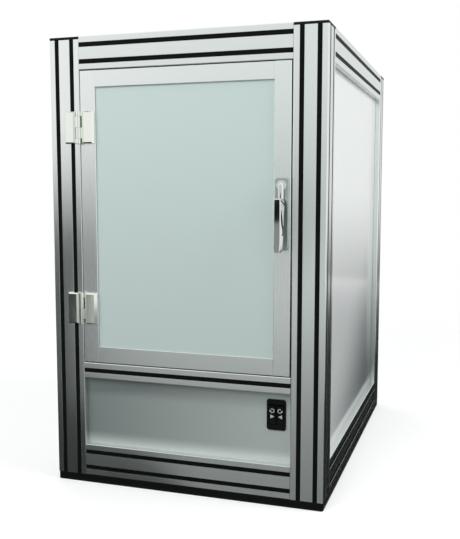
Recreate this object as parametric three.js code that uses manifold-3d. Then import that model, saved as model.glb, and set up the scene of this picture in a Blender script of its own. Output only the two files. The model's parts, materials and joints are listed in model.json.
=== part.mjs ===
// A cabinet-type desktop scanner: a frame of slotted aluminium profile closed by white panels, a framed
// door on two hinges, a turntable turned by a gear pair under its deck, and a scan head on a mast.
// Millimetres. X runs to the right, Y to the back and Z up. The origin is the centre of the base's underside.
import * as THREE from "three";
import { mergeVertices } from "three/addons/utils/BufferGeometryUtils.js";
import Module from "manifold-3d";

const wasm = await Module();
wasm.setup();

// Cabinet
const cabinetWidth = 520;
const cabinetDepth = 720;
const frameHeight = 820;
const baseThickness = 15;
const baseCornerRadius = 4;
const midRailRise = 189;
const capThickness = 5;
const capBevel = 1;
const capPegLength = 8;
const capPegRadius = 2.8;

// Slotted profile: square cells, each with a slot in its outer faces and a bore in its middle
const cell = 30;
const slotMouth = 8.2;
const slotLip = 2.2;
const slotWidth = 16.5;
const slotShoulder = 1.8;
const slotFloor = 7.2;
const slotDepth = 8.6;
const coreBoreRadius = 3.4;
const profileCornerRadius = 1.5;
const heartHollow = 9;

// Panels held in the slots
const panelThickness = 6;
const panelBite = 7;
const seatGap = 0.3;
const cutoutGap = 0.5;

// Door
const doorThickness = 20;
const doorFrameWidth = 30;
const doorHingeGap = 1;
const doorLatchGap = 2;
const doorEndGap = 1.5;
const doorLip = 3;
const doorPanelThickness = 4;
const doorGrooveDepth = 8;
const doorTubeWall = 2;
const doorEdgeRadius = 0.8;

// Hinges
const hingeInset = 102;
const hingeHeight = 58;
const hingeReach = 30;
const hingeCoverHeight = 8;
const hingeOuterBevel = 4;
const hingeOuterRise = 2.7;
const hingeFlatStart = 10.5;
const hingeInnerStart = 6.6;
const hingeInnerRise = 6.2;
const hingeEndBevel = 2.2;
const hingeNeckLow = 0.8;
const hingeNeckHigh = 6;
const barrelRadius = 4.4;
const barrelStand = 7;
const knuckleLong = 20;
const knuckleGap = 0.4;
const hingePinRadius = 2;
const hingePinHeadRadius = 3;
const hingePinHeadHeight = 1.2;
const pinClearance = 0.3;

// Handle and latch
const handleRise = 330;
const escutcheonWidth = 24;
const escutcheonHeight = 124;
const escutcheonRise = 13.7;
const escutcheonRadius = 4.5;
const escutcheonThickness = 5;
const escutcheonBevel = 1.2;
const hubRadius = 9;
const hubFrontRadius = 7;
const hubStand = 12;
const hubCrown = 2;
const hubCrownRadiusShare = 0.6;
const hubCrownRiseShare = 0.8;
const leverLength = 112;
const leverRootStand = 9.5;
const leverSweep = 22;
const leverSweepPower = 7;
const leverWidth = 13;
const leverRootThickness = 9;
const leverTipThickness = 7.5;
const leverTipNarrowShare = 0.35;
const leverTipNarrowPower = 8;
const leverSoftnessPower = 0.55;
const leverShares = [1, 0.985, 0.95, 0.8, 0.6, 0.42, 0.3, 0.22, 0.16, 0.11, 0.06, 0];
const spindleSize = 7;
const spindleHoleRadius = 6;
const spindleTail = 3;
const camReach = 14;
const camHalfWidth = 6;
const camThickness = 3;
const camStandoff = 5;
const spindleShoulderRadius = 5.6;
const keeperHeight = 34;
const keeperThickness = 3;
const keeperLipReach = 9.7;
const keeperFoot = 28;
const keeperGap = 0.5;

// Door stops
const stopWidth = 24;
const stopHeight = 12;
const stopOffset = 20;

// Switch
const switchInset = 27.5;
const switchDrop = 41;
const bezelWidth = 35;
const bezelHeight = 56;
const bezelThickness = 2.5;
const bezelRadius = 4;
const bezelBevel = 0.8;
const switchBodyWidth = 30;
const switchBodyHeight = 45;
const switchBodyDepth = 20;
const pocketDepth = 12;
const rockerWidth = 12;
const rockerHalfHeight = 17;
const rockerPitch = 14;
const rockerGap = 0.6;
const rockerFaceStand = 4;
const rockerDish = 1.6;
const rockerDishHalfwayShare = 0.75;
const rockerPivotDepth = 2.5;
const rockerSkirt = 5;
const rockerKeel = 4;
const rockerTilt = 7;

// Deck and turntable
const deckThickness = 6;
const turntableForward = 80;
const platterRadius = 130;
const platterThickness = 10;
const platterEdge = 1.5;
const platterGroove = 1;
const platterGrooveCount = 2;
const platterSides = 36;
const hubPlateRadius = 42;
const hubPlateThickness = 6;
const hubPlateLift = 2;
const spindleRadius = 12;
const runningGap = 0.4;
const housingFlangeRadius = 46;
const housingFlangeThickness = 6;
const housingRadius = 26;
const housingLength = 60;

// Gear pair
const gearModule = 2.5;
const wheelTeeth = 48;
const pinionTeeth = 16;
const pressureAngle = 20;
const gearBacklash = 0.3;
const addendumShare = 0.8;
const dedendumShare = 1.1;
const flankShares = [0, 0.6, 1];
const gearThickness = 10;
const gearDrop = 3;
const wheelWebRadius = 47;
const wheelWebRecess = 3;
const wheelHubRadius = 20;
const motorShaftRadius = 3;
const motorShaftSeat = 12;
const gearboxRadius = 18.5;
const gearboxLength = 26;
const motorCanRadius = 16.5;
const motorCanLength = 32;
const motorFlangeSize = 42;
const motorFlangeThickness = 4;
const motorNoseRadius = 7;
const motorNoseHeight = 3;
const motorFlangeRadius = 3;

// Scan head
const mastInset = 45;
const mastHeight = 470;
const headPivotHeight = 330;
const headPitch = 40;
const headWidth = 190;
const headHeight = 62;
const headDepth = 56;
const headCornerRadius = 12;
const headBevel = 3;
const headBack = 20;
const headVentCount = 7;
const headVentPitch = 12;
const headVentWidth = 5;
const headVentDepth = 3;
const headVentStartShare = 0.2;
const headVentEndShare = 0.75;
const lugWidth = 18;
const lugRadius = 9;
const pivotRadius = 4;
const yokeWidth = 56;
const yokeHeight = 70;
const yokeThickness = 5;
const yokeStand = 28;
const yokeEarRadius = 12;
const lensPitch = 66;
const cameraLensRadius = 16;
const projectorLensRadius = 21;
const lensLength = 13;
const lensSeatDepth = 4;
const lensRim = 2.5;
const lensMouthDepth = 5;
const lensGlassShare = 0.55;
const lensDomeRadiusShare = 0.6;
const lensDomeEdgeShare = 0.8;
const lensDomeCrownShare = 0.7;

// Light bar
const lightBarEndGap = 30;
const lightBarHeight = 18;
const lightBarDepth = 20;
const lightBarDrop = 44;

// Power supply and inlet
const supplyLength = 160;
const supplyWidth = 98;
const supplyHeight = 42;
const supplyWall = 1.5;
const supplyGroove = 3;
const supplyGrooveCount = 8;
const supplyTerminalDepth = 12;
const supplyTerminalHeight = 18;
const supplyInset = 40;
const inletWidth = 48;
const inletHeight = 28;
const inletFlange = 3;
const inletFlangeRadius = 5;
const inletBodyWidth = 28;
const inletBodyHeight = 22;
const inletBodyDepth = 24;
const inletRecess = 16;
const inletWall = 1.6;
const inletChamfer = 5;
const inletPinHeight = 4;
const inletPinWidth = 2;
const inletPinLength = 12;
const inletPinPitch = 7;
const inletPinRise = 3;
const inletInset = 70;
const inletRise = 110;

// Rear vents
const ventCount = 8;
const ventPitch = 12;
const ventLength = 70;
const ventWidth = 5;
const ventInset = 80;
const ventRise = 40;

// Fineness of round forms, and the overrun of every cutting tool
const roundSides = 24;
const smallSides = 12;
const boreSides = 8;
const cornerSteps = 2;
const overrun = 1;
const weld = 1e-4;

// Levels and faces that follow from the sizes above
const frontFace = -cabinetDepth / 2;
const rearFace = cabinetDepth / 2;
const sideFace = cabinetWidth / 2;
const postSize = 2 * cell;
const frameTop = baseThickness + frameHeight;
const bottomBeamTop = baseThickness + postSize;
const topBeamUnderside = frameTop - postSize;
const openingHalfWidth = sideFace - postSize;
const postInnerFront = frontFace + postSize;
const postInnerRear = rearFace - postSize;
const midRailBottom = baseThickness + midRailRise;
const midRailTop = midRailBottom + cell;
const slotLine = cell / 2;
const panelRecess = slotLine - slotMouth / 2 + seatGap;
const deckTop = midRailBottom + slotLine - slotMouth / 2 + seatGap + deckThickness;
const deckUnderside = deckTop - deckThickness;
const doorLeft = -openingHalfWidth + doorHingeGap;
const doorRight = openingHalfWidth - doorLatchGap;
const doorBottom = midRailTop + doorEndGap;
const doorTop = topBeamUnderside - doorEndGap;
const doorBack = frontFace + doorThickness;
const hingeAxisX = -openingHalfWidth + doorHingeGap / 2;
const hingeAxisY = frontFace - barrelStand;
const handleX = doorRight - doorFrameWidth / 2;
const handleZ = doorBottom + handleRise;
const turntableY = -turntableForward;
const wheelRadius = (gearModule * wheelTeeth) / 2;
const pinionRadius = (gearModule * pinionTeeth) / 2;
const gearTop = deckUnderside - housingLength - gearDrop;
const pinionY = turntableY + wheelRadius + pinionRadius;
const mastY = rearFace - cell - mastInset;
const headPivotY = mastY - cell / 2 - yokeStand;
const headPivotZ = deckTop + headPivotHeight;

const X = new THREE.Vector3(1, 0, 0);
const Y = new THREE.Vector3(0, 1, 0);
const Z = new THREE.Vector3(0, 0, 1);
const minusX = new THREE.Vector3(-1, 0, 0);
const minusZ = new THREE.Vector3(0, 0, -1);
const radians = (degrees) => (degrees * Math.PI) / 180;

function finish(name, colour, roughness, metalness) {
  return new THREE.MeshStandardMaterial({ name, color: colour, roughness, metalness });
}
const anodised = finish("anodised", 0xc3ccca, 0.35, 0.9);
const doorMetal = finish("door_metal", 0xcdd6d3, 0.3, 0.9);
const blackPlastic = finish("black_plastic", 0x17181a, 0.5, 0);
const whiteBoard = finish("white_board", 0xdde3e0, 0.45, 0);
const chrome = finish("chrome", 0xd9dbd8, 0.12, 1);
const darkMetal = finish("dark_metal", 0x3a3d40, 0.5, 0.6);
const steel = finish("steel", 0x9aa0a3, 0.35, 0.9);
const glass = finish("lens_glass", 0x1c2530, 0.05, 0);
const diffuser = finish("diffuser", 0xf4f5f0, 0.6, 0);

// A closed outline from a list of [across, up] points.
function outline(points) {
  return new THREE.Shape(points.map(([across, up]) => new THREE.Vector2(across, up)));
}

// The points of an arc round [across, up], from one angle to another.
function arc(across, up, radius, from, to, steps) {
  const points = [];
  for (let step = 0; step <= steps; step += 1) {
    const angle = radians(from + ((to - from) * step) / steps);
    points.push([across + radius * Math.cos(angle), up + radius * Math.sin(angle)]);
  }
  return points;
}

// A rectangle with round corners, centred on [across, up].
function roundedRectangle(width, height, radius, across = 0, up = 0) {
  const side = width / 2 - radius;
  const rise = height / 2 - radius;
  return [
    ...arc(across + side, up + rise, radius, 0, 90, cornerSteps),
    ...arc(across - side, up + rise, radius, 90, 180, cornerSteps),
    ...arc(across - side, up - rise, radius, 180, 270, cornerSteps),
    ...arc(across + side, up - rise, radius, 270, 360, cornerSteps),
  ];
}

function rectangle(left, right, low, high) {
  return [
    [left, low],
    [right, low],
    [right, high],
    [left, high],
  ];
}

function circle(radius, sides, across = 0, up = 0) {
  return arc(across, up, radius, 0, 360 - 360 / sides, sides - 1);
}

// A closed outline with holes, both as lists of points.
function pierced(edge, holes) {
  const shape = outline(edge);
  for (const hole of holes) {
    shape.holes.push(new THREE.Path(hole.map(([across, up]) => new THREE.Vector2(across, up))));
  }
  return shape;
}

// Pushes a shape along the cross product of its two axes, from a point where the shape's own zero lies.
function sweep(shape, length, from, across, up, bevel = 0) {
  const geometry = new THREE.ExtrudeGeometry(shape, {
    depth: length - 2 * bevel,
    bevelEnabled: bevel > 0,
    bevelThickness: bevel,
    bevelSize: bevel,
    bevelOffset: -bevel,
    bevelSegments: 1,
    curveSegments: smallSides,
  });
  geometry.translate(0, 0, bevel);
  const along = new THREE.Vector3().crossVectors(across, up);
  const turn = new THREE.Matrix4().makeBasis(across, up, along);
  return geometry.applyMatrix4(turn.setPosition(...from));
}

// A straight-sided block between two opposite corners.
function block(low, high) {
  const geometry = new THREE.BoxGeometry(high[0] - low[0], high[1] - low[1], high[2] - low[2]);
  return geometry.translate((low[0] + high[0]) / 2, (low[1] + high[1]) / 2, (low[2] + high[2]) / 2);
}

// A turned form: a closed profile of [radius, height] points, spun round a Z axis.
function turned(profile, sides) {
  const points = profile.map(([radius, height]) => new THREE.Vector2(radius, height));
  const geometry = new THREE.LatheGeometry(points, sides);
  return geometry.rotateX(Math.PI / 2);
}

function rod(radius, low, high, sides) {
  const profile = [
    [0, low],
    [radius, low],
    [radius, high],
    [0, high],
  ];
  return turned(profile, sides);
}

// A skin over rings of points, closed at both ends. Rings run round counter-clockwise, seen from the far end.
function lofted(rings) {
  const positions = rings.flat(2);
  const size = rings[0].length;
  const faces = [];
  for (let ring = 0; ring + 1 < rings.length; ring += 1) {
    for (let at = 0; at < size; at += 1) {
      const next = (at + 1) % size;
      const a = ring * size + at;
      const b = ring * size + next;
      faces.push(a, b, b + size, a, b + size, a + size);
    }
  }
  const last = (rings.length - 1) * size;
  for (let at = 1; at + 1 < size; at += 1) {
    faces.push(0, at + 1, at, last, last + at, last + at + 1);
  }
  const geometry = new THREE.BufferGeometry();
  geometry.setAttribute("position", new THREE.Float32BufferAttribute(positions, 3));
  geometry.setIndex(faces);
  return geometry;
}

function solid(geometry) {
  const loose = geometry.index ? geometry.toNonIndexed() : geometry;
  const bare = new THREE.BufferGeometry().setAttribute("position", loose.getAttribute("position"));
  const merged = mergeVertices(bare, weld);
  return new wasm.Manifold(
    new wasm.Mesh({
      numProp: 3,
      vertProperties: merged.getAttribute("position").array,
      triVerts: new Uint32Array(merged.index.array),
    }),
  );
}

function fromSolid(manifold) {
  const mesh = manifold.getMesh();
  const geometry = new THREE.BufferGeometry();
  geometry.setAttribute("position", new THREE.Float32BufferAttribute(mesh.vertProperties, 3));
  geometry.setIndex(new THREE.Uint32BufferAttribute(mesh.triVerts, 1));
  const flat = geometry.toNonIndexed();
  flat.computeVertexNormals();
  return flat;
}

function joined(...pieces) {
  return fromSolid(pieces.map(solid).reduce((sum, piece) => sum.add(piece)));
}

function cut(geometry, ...tools) {
  return fromSolid(tools.map(solid).reduce((rest, tool) => rest.subtract(tool), solid(geometry)));
}

// The section of a profile, some cells wide and some high, centred on zero.
function profileSection(cellsAcross, cellsUp) {
  const halfAcross = (cellsAcross * cell) / 2;
  const halfUp = (cellsUp * cell) / 2;
  const slot = [
    [-slotMouth / 2, 0],
    [-slotMouth / 2, slotLip],
    [-slotWidth / 2, slotLip],
    [-slotWidth / 2, slotLip + slotShoulder],
    [-slotFloor / 2, slotDepth],
    [slotFloor / 2, slotDepth],
    [slotWidth / 2, slotLip + slotShoulder],
    [slotWidth / 2, slotLip],
    [slotMouth / 2, slotLip],
    [slotMouth / 2, 0],
  ];
  const sides = [
    { corner: [-halfAcross, -halfUp], along: [1, 0], inward: [0, 1], cells: cellsAcross, turn: 180 },
    { corner: [halfAcross, -halfUp], along: [0, 1], inward: [-1, 0], cells: cellsUp, turn: 270 },
    { corner: [halfAcross, halfUp], along: [-1, 0], inward: [0, -1], cells: cellsAcross, turn: 0 },
    { corner: [-halfAcross, halfUp], along: [0, -1], inward: [1, 0], cells: cellsUp, turn: 90 },
  ];
  const edge = [];
  for (const { corner, along, inward, cells, turn } of sides) {
    const middle = [0, 1].map((i) => corner[i] + (along[i] + inward[i]) * profileCornerRadius);
    edge.push(...arc(middle[0], middle[1], profileCornerRadius, turn, turn + 90, cornerSteps));
    for (let index = 0; index < cells; index += 1) {
      const centre = index * cell + slotLine;
      for (const [aside, deep] of slot) {
        edge.push([0, 1].map((i) => corner[i] + along[i] * (centre + aside) + inward[i] * deep));
      }
    }
  }
  const holes = [];
  for (let column = 0; column < cellsAcross; column += 1) {
    for (let row = 0; row < cellsUp; row += 1) {
      const across = column * cell + slotLine - halfAcross;
      const up = row * cell + slotLine - halfUp;
      holes.push(circle(coreBoreRadius, boreSides, across, up));
    }
  }
  if (cellsAcross > 1 && cellsUp > 1) {
    const half = heartHollow / 2;
    holes.push([
      [half, 0],
      [0, half],
      [-half, 0],
      [0, -half],
    ]);
  }
  return pierced(edge, holes);
}

function post(side, end) {
  const from = [side * (sideFace - cell), end * (rearFace - cell), baseThickness];
  return sweep(profileSection(2, 2), frameHeight - capThickness, from, X, Y);
}

// The cap that closes a post, with a peg for each of the post's bores.
function postCap(side, end) {
  const middle = [side * (sideFace - cell), end * (rearFace - cell)];
  const postTop = frameTop - capThickness;
  const plate = outline(roundedRectangle(postSize, postSize, profileCornerRadius));
  const pieces = [sweep(plate, capThickness, [...middle, postTop], X, Y, capBevel)];
  for (const across of [-1, 1]) {
    for (const back of [-1, 1]) {
      const peg = rod(capPegRadius, postTop - capPegLength, postTop + capBevel, boreSides);
      peg.translate(middle[0] + (across * cell) / 2, middle[1] + (back * cell) / 2, 0);
      pieces.push(peg);
    }
  }
  return joined(...pieces);
}

// A beam across the cabinet, between two posts.
function crossBeam(end, middle, cellsUp) {
  const from = [-openingHalfWidth, end * (rearFace - cell / 2), middle];
  return sweep(profileSection(1, cellsUp), 2 * openingHalfWidth, from, Y, Z);
}

// A beam from front to back, between two posts.
function sideBeam(side, middle) {
  const from = [side * (sideFace - cell / 2), postInnerFront, middle];
  return sweep(profileSection(2, 1), postInnerRear - postInnerFront, from, Z, X);
}

// A single-cell rail under the deck's edge, just inside the side panel.
function deckRail(side) {
  const from = [side * (openingHalfWidth + cell / 2), postInnerFront, deckUnderside - cell / 2];
  return sweep(profileSection(1, 1), postInnerRear - postInnerFront, from, Z, X);
}

function basePlate() {
  const edge = outline(roundedRectangle(cabinetWidth, cabinetDepth, baseCornerRadius));
  return sweep(edge, baseThickness, [0, 0, 0], X, Y);
}

function sidePanel(side) {
  const low = bottomBeamTop - panelBite;
  const high = topBeamUnderside + panelBite;
  const outer = sideFace - panelRecess;
  const faces = [side * outer, side * (outer - panelThickness)].sort((a, b) => a - b);
  return block(
    [faces[0], postInnerFront - panelBite, low],
    [faces[1], postInnerRear + panelBite, high],
  );
}

// The rear panel, with a bank of vents low on one side and the inlet's cutout low on the other.
function rearPanel() {
  const low = bottomBeamTop - panelBite;
  const high = topBeamUnderside + panelBite;
  const reach = openingHalfWidth + panelBite;
  const holes = [inletOutline(inletBodyWidth + 2 * cutoutGap, inletBodyHeight + 2 * cutoutGap)];
  for (let index = 0; index < ventCount; index += 1) {
    const up = bottomBeamTop + ventRise + index * ventPitch;
    const across = -openingHalfWidth + ventInset;
    holes.push(roundedRectangle(ventLength, ventWidth, ventWidth / 2, across, up));
  }
  const from = [0, rearFace - panelRecess, 0];
  return sweep(pierced(rectangle(-reach, reach, low, high), holes), panelThickness, from, X, Z);
}

// The top panel, notched round the four posts.
function topPanel() {
  const half = openingHalfWidth - seatGap;
  const wide = sideFace - cell + panelBite;
  const deep = rearFace - cell + panelBite;
  const shoulder = postInnerRear - seatGap;
  const edge = notchedPlate(half, wide, deep, shoulder);
  return sweep(edge, panelThickness, [0, 0, frameTop - panelRecess - panelThickness], X, Y);
}

// A plate as wide as the beams allow between the posts, and narrow enough to pass between them.
function notchedPlate(half, wide, deep, shoulder, holes = []) {
  const edge = [
    [-half, -deep],
    [half, -deep],
    [half, -shoulder],
    [wide, -shoulder],
    [wide, shoulder],
    [half, shoulder],
    [half, deep],
    [-half, deep],
    [-half, shoulder],
    [-wide, shoulder],
    [-wide, -shoulder],
    [-half, -shoulder],
  ];
  return pierced(edge, holes);
}

function lowerFrontPanel() {
  const reach = openingHalfWidth + panelBite;
  const low = bottomBeamTop - panelBite;
  const high = midRailBottom + panelBite;
  const hole = roundedRectangle(
    switchBodyWidth + 2 * cutoutGap,
    switchBodyHeight + 2 * cutoutGap,
    bezelRadius / 2,
    openingHalfWidth - switchInset,
    midRailBottom - switchDrop,
  );
  const back = frontFace + panelRecess + panelThickness;
  return sweep(pierced(rectangle(-reach, reach, low, high), [hole]), panelThickness, [0, back, 0], X, Z);
}

function deckPlate() {
  const half = openingHalfWidth - seatGap;
  const wide = openingHalfWidth + cell;
  const deep = rearFace - cell + panelBite;
  const hole = circle(spindleRadius + 2 * runningGap, roundSides, 0, turntableY);
  const edge = notchedPlate(half, wide, deep, postInnerRear - seatGap, [hole]);
  return sweep(edge, deckThickness, [0, 0, deckUnderside], X, Y);
}

// The door's hollow frame section: its outer edge at zero across, its front at zero up, the panel's
// groove in its inner edge.
function doorSection() {
  const groove = doorPanelThickness + 2 * seatGap;
  const grooveFloor = doorFrameWidth - doorGrooveDepth;
  const edge = [
    ...arc(doorEdgeRadius, doorEdgeRadius, doorEdgeRadius, 180, 270, cornerSteps),
    ...arc(doorFrameWidth - doorEdgeRadius, doorEdgeRadius, doorEdgeRadius, 270, 360, cornerSteps),
    [doorFrameWidth, doorLip],
    [grooveFloor, doorLip],
    [grooveFloor, doorLip + groove],
    [doorFrameWidth, doorLip + groove],
    [doorFrameWidth, doorThickness],
    [0, doorThickness],
  ];
  const hollow = rectangle(
    doorTubeWall,
    grooveFloor - doorTubeWall,
    doorTubeWall,
    doorThickness - doorTubeWall,
  );
  return pierced(edge, [hollow]);
}

function hingeStile() {
  return sweep(doorSection(), doorTop - doorBottom, [doorLeft, frontFace, doorBottom], X, Y);
}

// The stile on the latch side, drilled for the handle's spindle.
function latchStile() {
  const stile = sweep(doorSection(), doorTop - doorBottom, [doorRight, frontFace, doorTop], minusX, Y);
  const drill = rod(spindleHoleRadius, -overrun, doorThickness + overrun, smallSides);
  drill.rotateX(-Math.PI / 2).translate(handleX, frontFace, handleZ);
  return cut(stile, drill);
}

function doorRail(top) {
  const length = doorRight - doorLeft - 2 * doorFrameWidth;
  if (top) {
    const from = [doorLeft + doorFrameWidth, frontFace, doorTop];
    return sweep(doorSection(), length, from, minusZ, Y);
  }
  const from = [doorRight - doorFrameWidth, frontFace, doorBottom];
  return sweep(doorSection(), length, from, Z, Y);
}

function doorPanel() {
  const border = doorFrameWidth - panelBite;
  const front = frontFace + doorLip + seatGap;
  return block(
    [doorLeft + border, front, doorBottom + border],
    [doorRight - border, front + doorPanelThickness, doorTop - border],
  );
}

// The heights of the four knuckles, from the bottom: short, long, long, short.
function knuckles() {
  const short = (hingeHeight - 2 * knuckleLong) / 2;
  const heights = [0, short, short + knuckleLong, hingeHeight - short, hingeHeight];
  return heights.slice(1).map((top, index) => [heights[index], top]);
}

// What is cut away to bevel the two ends of a hinge's cover.
function hingeEnds(side) {
  const front = barrelStand - hingeCoverHeight - overrun;
  const leg = hingeEndBevel + 2 * overrun;
  const from = [side > 0 ? 0 : -hingeReach - overrun, 0, 0];
  const low = [
    [front, -overrun],
    [front + leg, -overrun],
    [front, leg - overrun],
  ];
  const high = low.map(([out, up]) => [out, hingeHeight - up]).reverse();
  return [low, high].map((wedge) => sweep(outline(wedge), hingeReach + overrun, from, Y, Z));
}

// One leaf of a hinge about its own pin axis: a cover with bevelled edges and its share of the knuckles,
// each on its neck. Side 1 is the door's leaf, side -1 the post's.
function hingeLeaf(side) {
  const section = [
    [hingeInnerStart, 0],
    [hingeReach, 0],
    [hingeReach, -hingeOuterRise],
    [hingeReach - hingeOuterBevel, -hingeCoverHeight],
    [hingeFlatStart, -hingeCoverHeight],
    [hingeInnerStart, -hingeInnerRise],
  ];
  const placed = section.map(([across, out]) => [side * across, out + barrelStand]);
  const leaf = sweep(outline(side > 0 ? placed.reverse() : placed), hingeHeight, [0, 0, 0], X, Y);
  const knuckled = [];
  const stack = knuckles();
  for (const [index, [low, high]] of stack.entries()) {
    if ((index % 2 === 0) !== (side < 0)) continue;
    const bottom = index === 0 ? low : low + knuckleGap / 2;
    const top = index === stack.length - 1 ? high : high - knuckleGap / 2;
    const reach = [0, side * hingeFlatStart].sort((one, other) => one - other);
    const out = [barrelStand - hingeNeckHigh, barrelStand - hingeNeckLow];
    knuckled.push(rod(barrelRadius, bottom, top, smallSides));
    knuckled.push(block([reach[0], out[0], bottom], [reach[1], out[1], top]));
  }
  const bore = rod(hingePinRadius + 2 * pinClearance, -overrun, hingeHeight + overrun, smallSides);
  return cut(joined(cut(leaf, ...hingeEnds(side)), ...knuckled), bore);
}

function hingePin() {
  const head = hingePinHeadHeight;
  const profile = [
    [0, -head],
    [hingePinHeadRadius, -head],
    [hingePinHeadRadius, -seatGap],
    [hingePinRadius, -seatGap],
    [hingePinRadius, hingeHeight + seatGap],
    [hingePinHeadRadius, hingeHeight + seatGap],
    [hingePinHeadRadius, hingeHeight + head],
    [0, hingeHeight + head],
  ];
  return turned(profile, smallSides);
}

// The handle's parts share the spindle's axis: across and up from it, and out from the door's face.
function escutcheon() {
  const middle = escutcheonRise - escutcheonHeight / 2;
  const plate = roundedRectangle(escutcheonWidth, escutcheonHeight, escutcheonRadius, 0, middle);
  const shape = pierced(plate, [circle(spindleHoleRadius, smallSides)]);
  return sweep(shape, escutcheonThickness, [handleX, frontFace, handleZ], X, Z, escutcheonBevel);
}

// The lever's section at a share of its drop: a soft rectangle square to its path, which sweeps out from
// the hub and then hangs straight.
function leverRing(share) {
  const thickness = leverRootThickness + (leverTipThickness - leverRootThickness) * share;
  const swept = Math.tanh(leverSweepPower * share);
  const stand = leverRootStand + leverSweep * swept;
  const lean = Math.atan((leverSweep * leverSweepPower * (1 - swept ** 2)) / leverLength);
  const narrow = 1 - leverTipNarrowShare * share ** leverTipNarrowPower;
  const ring = [];
  for (let step = 0; step < smallSides; step += 1) {
    const angle = (2 * Math.PI * step) / smallSides;
    const soft = (value) => Math.sign(value) * Math.abs(value) ** leverSoftnessPower;
    const across = (soft(Math.cos(angle)) * leverWidth * narrow) / 2;
    const out = (soft(Math.sin(angle)) * thickness * narrow) / 2;
    ring.push([across, -stand + out * Math.cos(lean), -share * leverLength - out * Math.sin(lean)]);
  }
  return ring;
}

// Hub, lever and square spindle in one casting, with the round shoulder that the cam is screwed against.
function handleLever() {
  const profile = [
    [0, -hubStand - hubCrown],
    [hubFrontRadius * hubCrownRadiusShare, -hubStand - hubCrown * hubCrownRiseShare],
    [hubFrontRadius, -hubStand],
    [hubRadius, -hubStand + hubCrown],
    [hubRadius, -escutcheonThickness - seatGap],
    [0, -escutcheonThickness - seatGap],
  ];
  const hub = turned(profile, roundSides).rotateX(-Math.PI / 2);
  const lever = lofted(leverShares.map(leverRing));
  const half = spindleSize / 2;
  const tail = doorThickness + camStandoff + camThickness + spindleTail;
  const spindle = block([-half, -hubStand + hubCrown, -half], [half, tail, half]);
  const shoulderBack = doorThickness + camStandoff - seatGap;
  const shoulder = rod(spindleShoulderRadius, -shoulderBack, -doorThickness - seatGap, smallSides);
  shoulder.rotateX(Math.PI / 2);
  return joined(hub, lever, spindle, shoulder).translate(handleX, frontFace, handleZ);
}

// The cam behind the door: a flat finger with a square hole for the spindle. It points up at rest.
function latchCam() {
  const hole = spindleSize / 2 + seatGap;
  const square = rectangle(-hole, hole, -hole, hole);
  const finger = [
    ...arc(0, 0, camHalfWidth, 180, 360, smallSides / 2),
    ...arc(0, camReach - camHalfWidth, camHalfWidth, 0, 180, smallSides / 2),
  ];
  const from = [handleX, doorBack + camStandoff + camThickness, handleZ];
  return sweep(pierced(finger, [square]), camThickness, from, X, Z);
}

// The angle screwed to the post, whose lip the cam turns behind.
function latchKeeper() {
  const wall = openingHalfWidth - seatGap;
  const front = doorBack + camStandoff - keeperGap - keeperThickness;
  const section = [
    [wall, front],
    [wall, front + keeperFoot],
    [wall - keeperThickness / 2, front + keeperFoot],
    [wall - keeperThickness / 2, front + keeperThickness],
    [wall - keeperLipReach, front + keeperThickness],
    [wall - keeperLipReach, front],
  ];
  return sweep(outline(section), keeperHeight, [0, 0, handleZ - keeperHeight / 2], X, Y);
}

// The stop behind the door's edge, on the beam above it or on the rail below it.
function doorStop(top) {
  const beam = top ? topBeamUnderside : midRailTop;
  const free = top ? beam - stopHeight : beam + stopHeight;
  const section = [
    [doorBack + seatGap, beam],
    [frontFace + cell, beam],
    [frontFace + cell, (beam + free) / 2],
    [doorBack + (cell - doorThickness) / 2, free],
    [doorBack + seatGap, free],
  ];
  const shape = outline(top ? section.reverse() : section);
  return sweep(shape, stopWidth, [stopOffset - stopWidth / 2, 0, 0], Y, Z);
}

// The twin switch's housing: a flange on the panel's face, a body through it and two open pockets.
function switchBezel() {
  const across = openingHalfWidth - switchInset;
  const up = midRailBottom - switchDrop;
  const face = frontFace + panelRecess;
  const flange = outline(roundedRectangle(bezelWidth, bezelHeight, bezelRadius, across, up));
  const body = outline(
    roundedRectangle(switchBodyWidth, switchBodyHeight, bezelRadius / 2, across, up),
  );
  const pockets = [-1, 1].map((side) => {
    const middle = across + (side * rockerPitch) / 2;
    const half = rockerWidth / 2 + rockerGap;
    const rise = rockerHalfHeight + 2 * rockerGap;
    return block(
      [middle - half, face - bezelThickness - overrun, up - rise],
      [middle + half, face + pocketDepth, up + rise],
    );
  });
  const front = sweep(flange, bezelThickness, [0, face, 0], X, Z, bezelBevel);
  const back = sweep(body, switchBodyDepth + bezelBevel, [0, face + switchBodyDepth, 0], X, Z);
  return cut(joined(front, back), ...pockets);
}

// A rocker about its own pivot: a dished face, a skirt at each end and a keel that holds the pivot.
function rocker() {
  const face = -rockerFaceStand - rockerPivotDepth;
  const section = [
    [face, -rockerHalfHeight],
    [face + rockerDish * rockerDishHalfwayShare, -rockerHalfHeight / 2],
    [face + rockerDish, 0],
    [face + rockerDish * rockerDishHalfwayShare, rockerHalfHeight / 2],
    [face, rockerHalfHeight],
    [face + rockerSkirt, rockerHalfHeight],
    [0, rockerKeel],
    [rockerKeel, 0],
    [0, -rockerKeel],
    [face + rockerSkirt, -rockerHalfHeight],
  ];
  return sweep(outline(section.reverse()), rockerWidth, [-rockerWidth / 2, 0, 0], Y, Z);
}

// The platter, with shallow rings turned in its top face.
function platter() {
  const low = deckTop + hubPlateLift + hubPlateThickness;
  const high = low + platterThickness;
  const profile = [
    [0, low],
    [platterRadius - platterEdge, low],
    [platterRadius, low + platterEdge],
    [platterRadius, high - platterEdge],
    [platterRadius - platterEdge, high],
  ];
  for (let ring = platterGrooveCount; ring > 0; ring -= 1) {
    const radius = (platterRadius * ring) / (platterGrooveCount + 1);
    profile.push([radius + platterGroove, high], [radius, high - platterGroove]);
    profile.push([radius - platterGroove, high]);
  }
  profile.push([0, high]);
  return turned(profile, platterSides).translate(0, turntableY, 0);
}

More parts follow.
